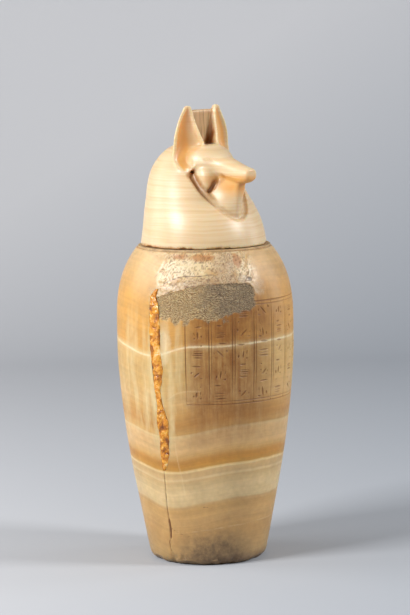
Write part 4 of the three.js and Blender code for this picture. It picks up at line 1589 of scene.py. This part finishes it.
    def build(self) -> bpy.types.Object:
        """Builds and dresses the stopper.

        Returns:
            The stopper, in place of the CAD node.
        """
        lid = self.wig()
        lid.name = "jackal_stopper"
        joined = [lid, *self.masses()]
        with bpy.context.temp_override(
            active_object=lid, selected_objects=joined, selected_editable_objects=joined
        ):
            bpy.ops.object.join()
        self.reskin(lid, 0)
        for radius, path in self.undercuts():
            take_away(lid, self.bored(radius, path))
        self.reskin(lid, 5)
        material = self.finish.material()
        take_away(lid, CutTree().cutters(self.incised(), lid, Tool.SCRATCH, material, 0.4))
        self.wear(lid)
        lid.data.materials.clear()
        lid.data.materials.append(material)
        rounded(lid, 50)
        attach(lid, "root")
        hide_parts("jackal_lid")
        return lid


# ---- Camera, floor and light --------------------------------------------------------------


@dataclass
class Studio:
    """A pale floor that curves up into a wall, soft lights, and the camera."""

    azimuth: float = -40.0
    distance: float = 2400.0
    eye_height: float = 532.0
    aim_height: float = 222.0
    lens: float = 160.1
    roll: float = 0.83
    paper: StudioPaper = field(default_factory=StudioPaper)

    def bearing(self, azimuth: float, distance: float, height: float) -> Vector:
        """A place round the object, by azimuth from the camera's side, in metres."""
        turn = math.radians(self.azimuth + azimuth)
        return Vector((distance * math.sin(turn), -distance * math.cos(turn), height)) * MM

    def camera(self) -> None:
        """Makes the camera and gives it to the scene."""
        data = bpy.data.cameras.new("camera")
        data.lens, data.sensor_width, data.sensor_fit = self.lens, 36.0, "AUTO"
        data.clip_start, data.clip_end = 0.1, 30.0
        made = bpy.data.objects.new("camera", data)
        bpy.context.scene.collection.objects.link(made)
        made.location = self.bearing(0, self.distance, self.eye_height)
        aim = Vector((0, 0, self.aim_height * MM)) - made.location
        made.rotation_euler = aim.to_track_quat("-Z", "Y").to_euler()
        made.rotation_euler.rotate_axis("Z", -math.radians(self.roll))
        bpy.context.scene.camera = made

    def floor(self) -> bpy.types.Object:
        """The floor and the wall, one sheet.

        Returns:
            The sheet.
        """
        turn = math.radians(self.azimuth)
        back = np.array([-math.sin(turn), math.cos(turn), 0])
        side = np.array([math.cos(turn), math.sin(turn), 0])
        # The wall stays low, so that the object is seen over it from behind.
        arc = [(1150 + 600 * math.sin(a), 600 * (1 - math.cos(a)))
               for a in np.linspace(0, math.radians(79), 22)]
        outline = [(-4500.0, 0.0), (-1000.0, 0.0), *arc]
        points = [back * y + side * x + [0, 0, z - 0.05] for y, z in outline for x in (-4500, 4500)]
        faces = [(2 * i, 2 * i + 1, 2 * i + 3, 2 * i + 2) for i in range(len(outline) - 1)]
        sheet = mesh_object("floor", np.array(points), faces)
        sheet.data.materials.append(self.paper.material())
        sheet.data.shade_smooth()
        return sheet

    def lamp(
        self, name: str, place: Vector, aim: Vector, size: tuple[float, float], power: float,
        colour: str = "ffffff",
    ) -> None:
        """One soft box.

        Args:
            name: its name.
            place: where it hangs.
            aim: what it points at.
            size: width and height in metres.
            power: watts.
            colour: sRGB hex.
        """
        data = bpy.data.lights.new(name, "AREA")
        data.shape, data.size, data.size_y = "RECTANGLE", *size
        data.energy, data.color = power, linear(colour)[:3]
        made = bpy.data.objects.new(name, data)
        bpy.context.scene.collection.objects.link(made)
        made.location = place
        made.rotation_euler = (aim - place).to_track_quat("-Z", "Y").to_euler()

    def build(self) -> None:
        """Makes the camera, the floor and the lights."""
        self.camera()
        self.floor()
        middle = Vector((0, 0, 0.2))
        self.lamp("left_box", self.bearing(-54, 1800, 1350), middle, (0.7, 0.7), 46)
        self.lamp("left_wall", self.bearing(-96, 1500, 900), middle, (0.9, 1.1), 10)
        self.lamp("right_box", self.bearing(74, 2000, 1400), middle, (0.5, 0.6), 31)
        self.lamp("right_wall", self.bearing(108, 1700, 700), middle, (0.5, 1.2), 6)
        world = bpy.data.worlds.new("studio_air")
        bpy.context.scene.world = world
        world.use_nodes = True
        world.node_tree.nodes["Background"].inputs[0].default_value = linear("dfe3ea")
        world.node_tree.nodes["Background"].inputs[1].default_value = 0.33
        bpy.context.scene.view_settings.view_transform = "Standard"


def main() -> None:
    """Builds the studio and each piece."""
    logging.basicConfig(level=logging.INFO, format="%(message)s")
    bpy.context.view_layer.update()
    Studio().build()
    for sub_assembly in (Jar(), FissureFill(), JackalLid()):
        piece = sub_assembly.build()
        triangles = sum(len(face.vertices) - 2 for face in piece.data.polygons)
        LOG.info("%s: %d triangles", piece.name, triangles)


if __name__ == "__main__":
    main()
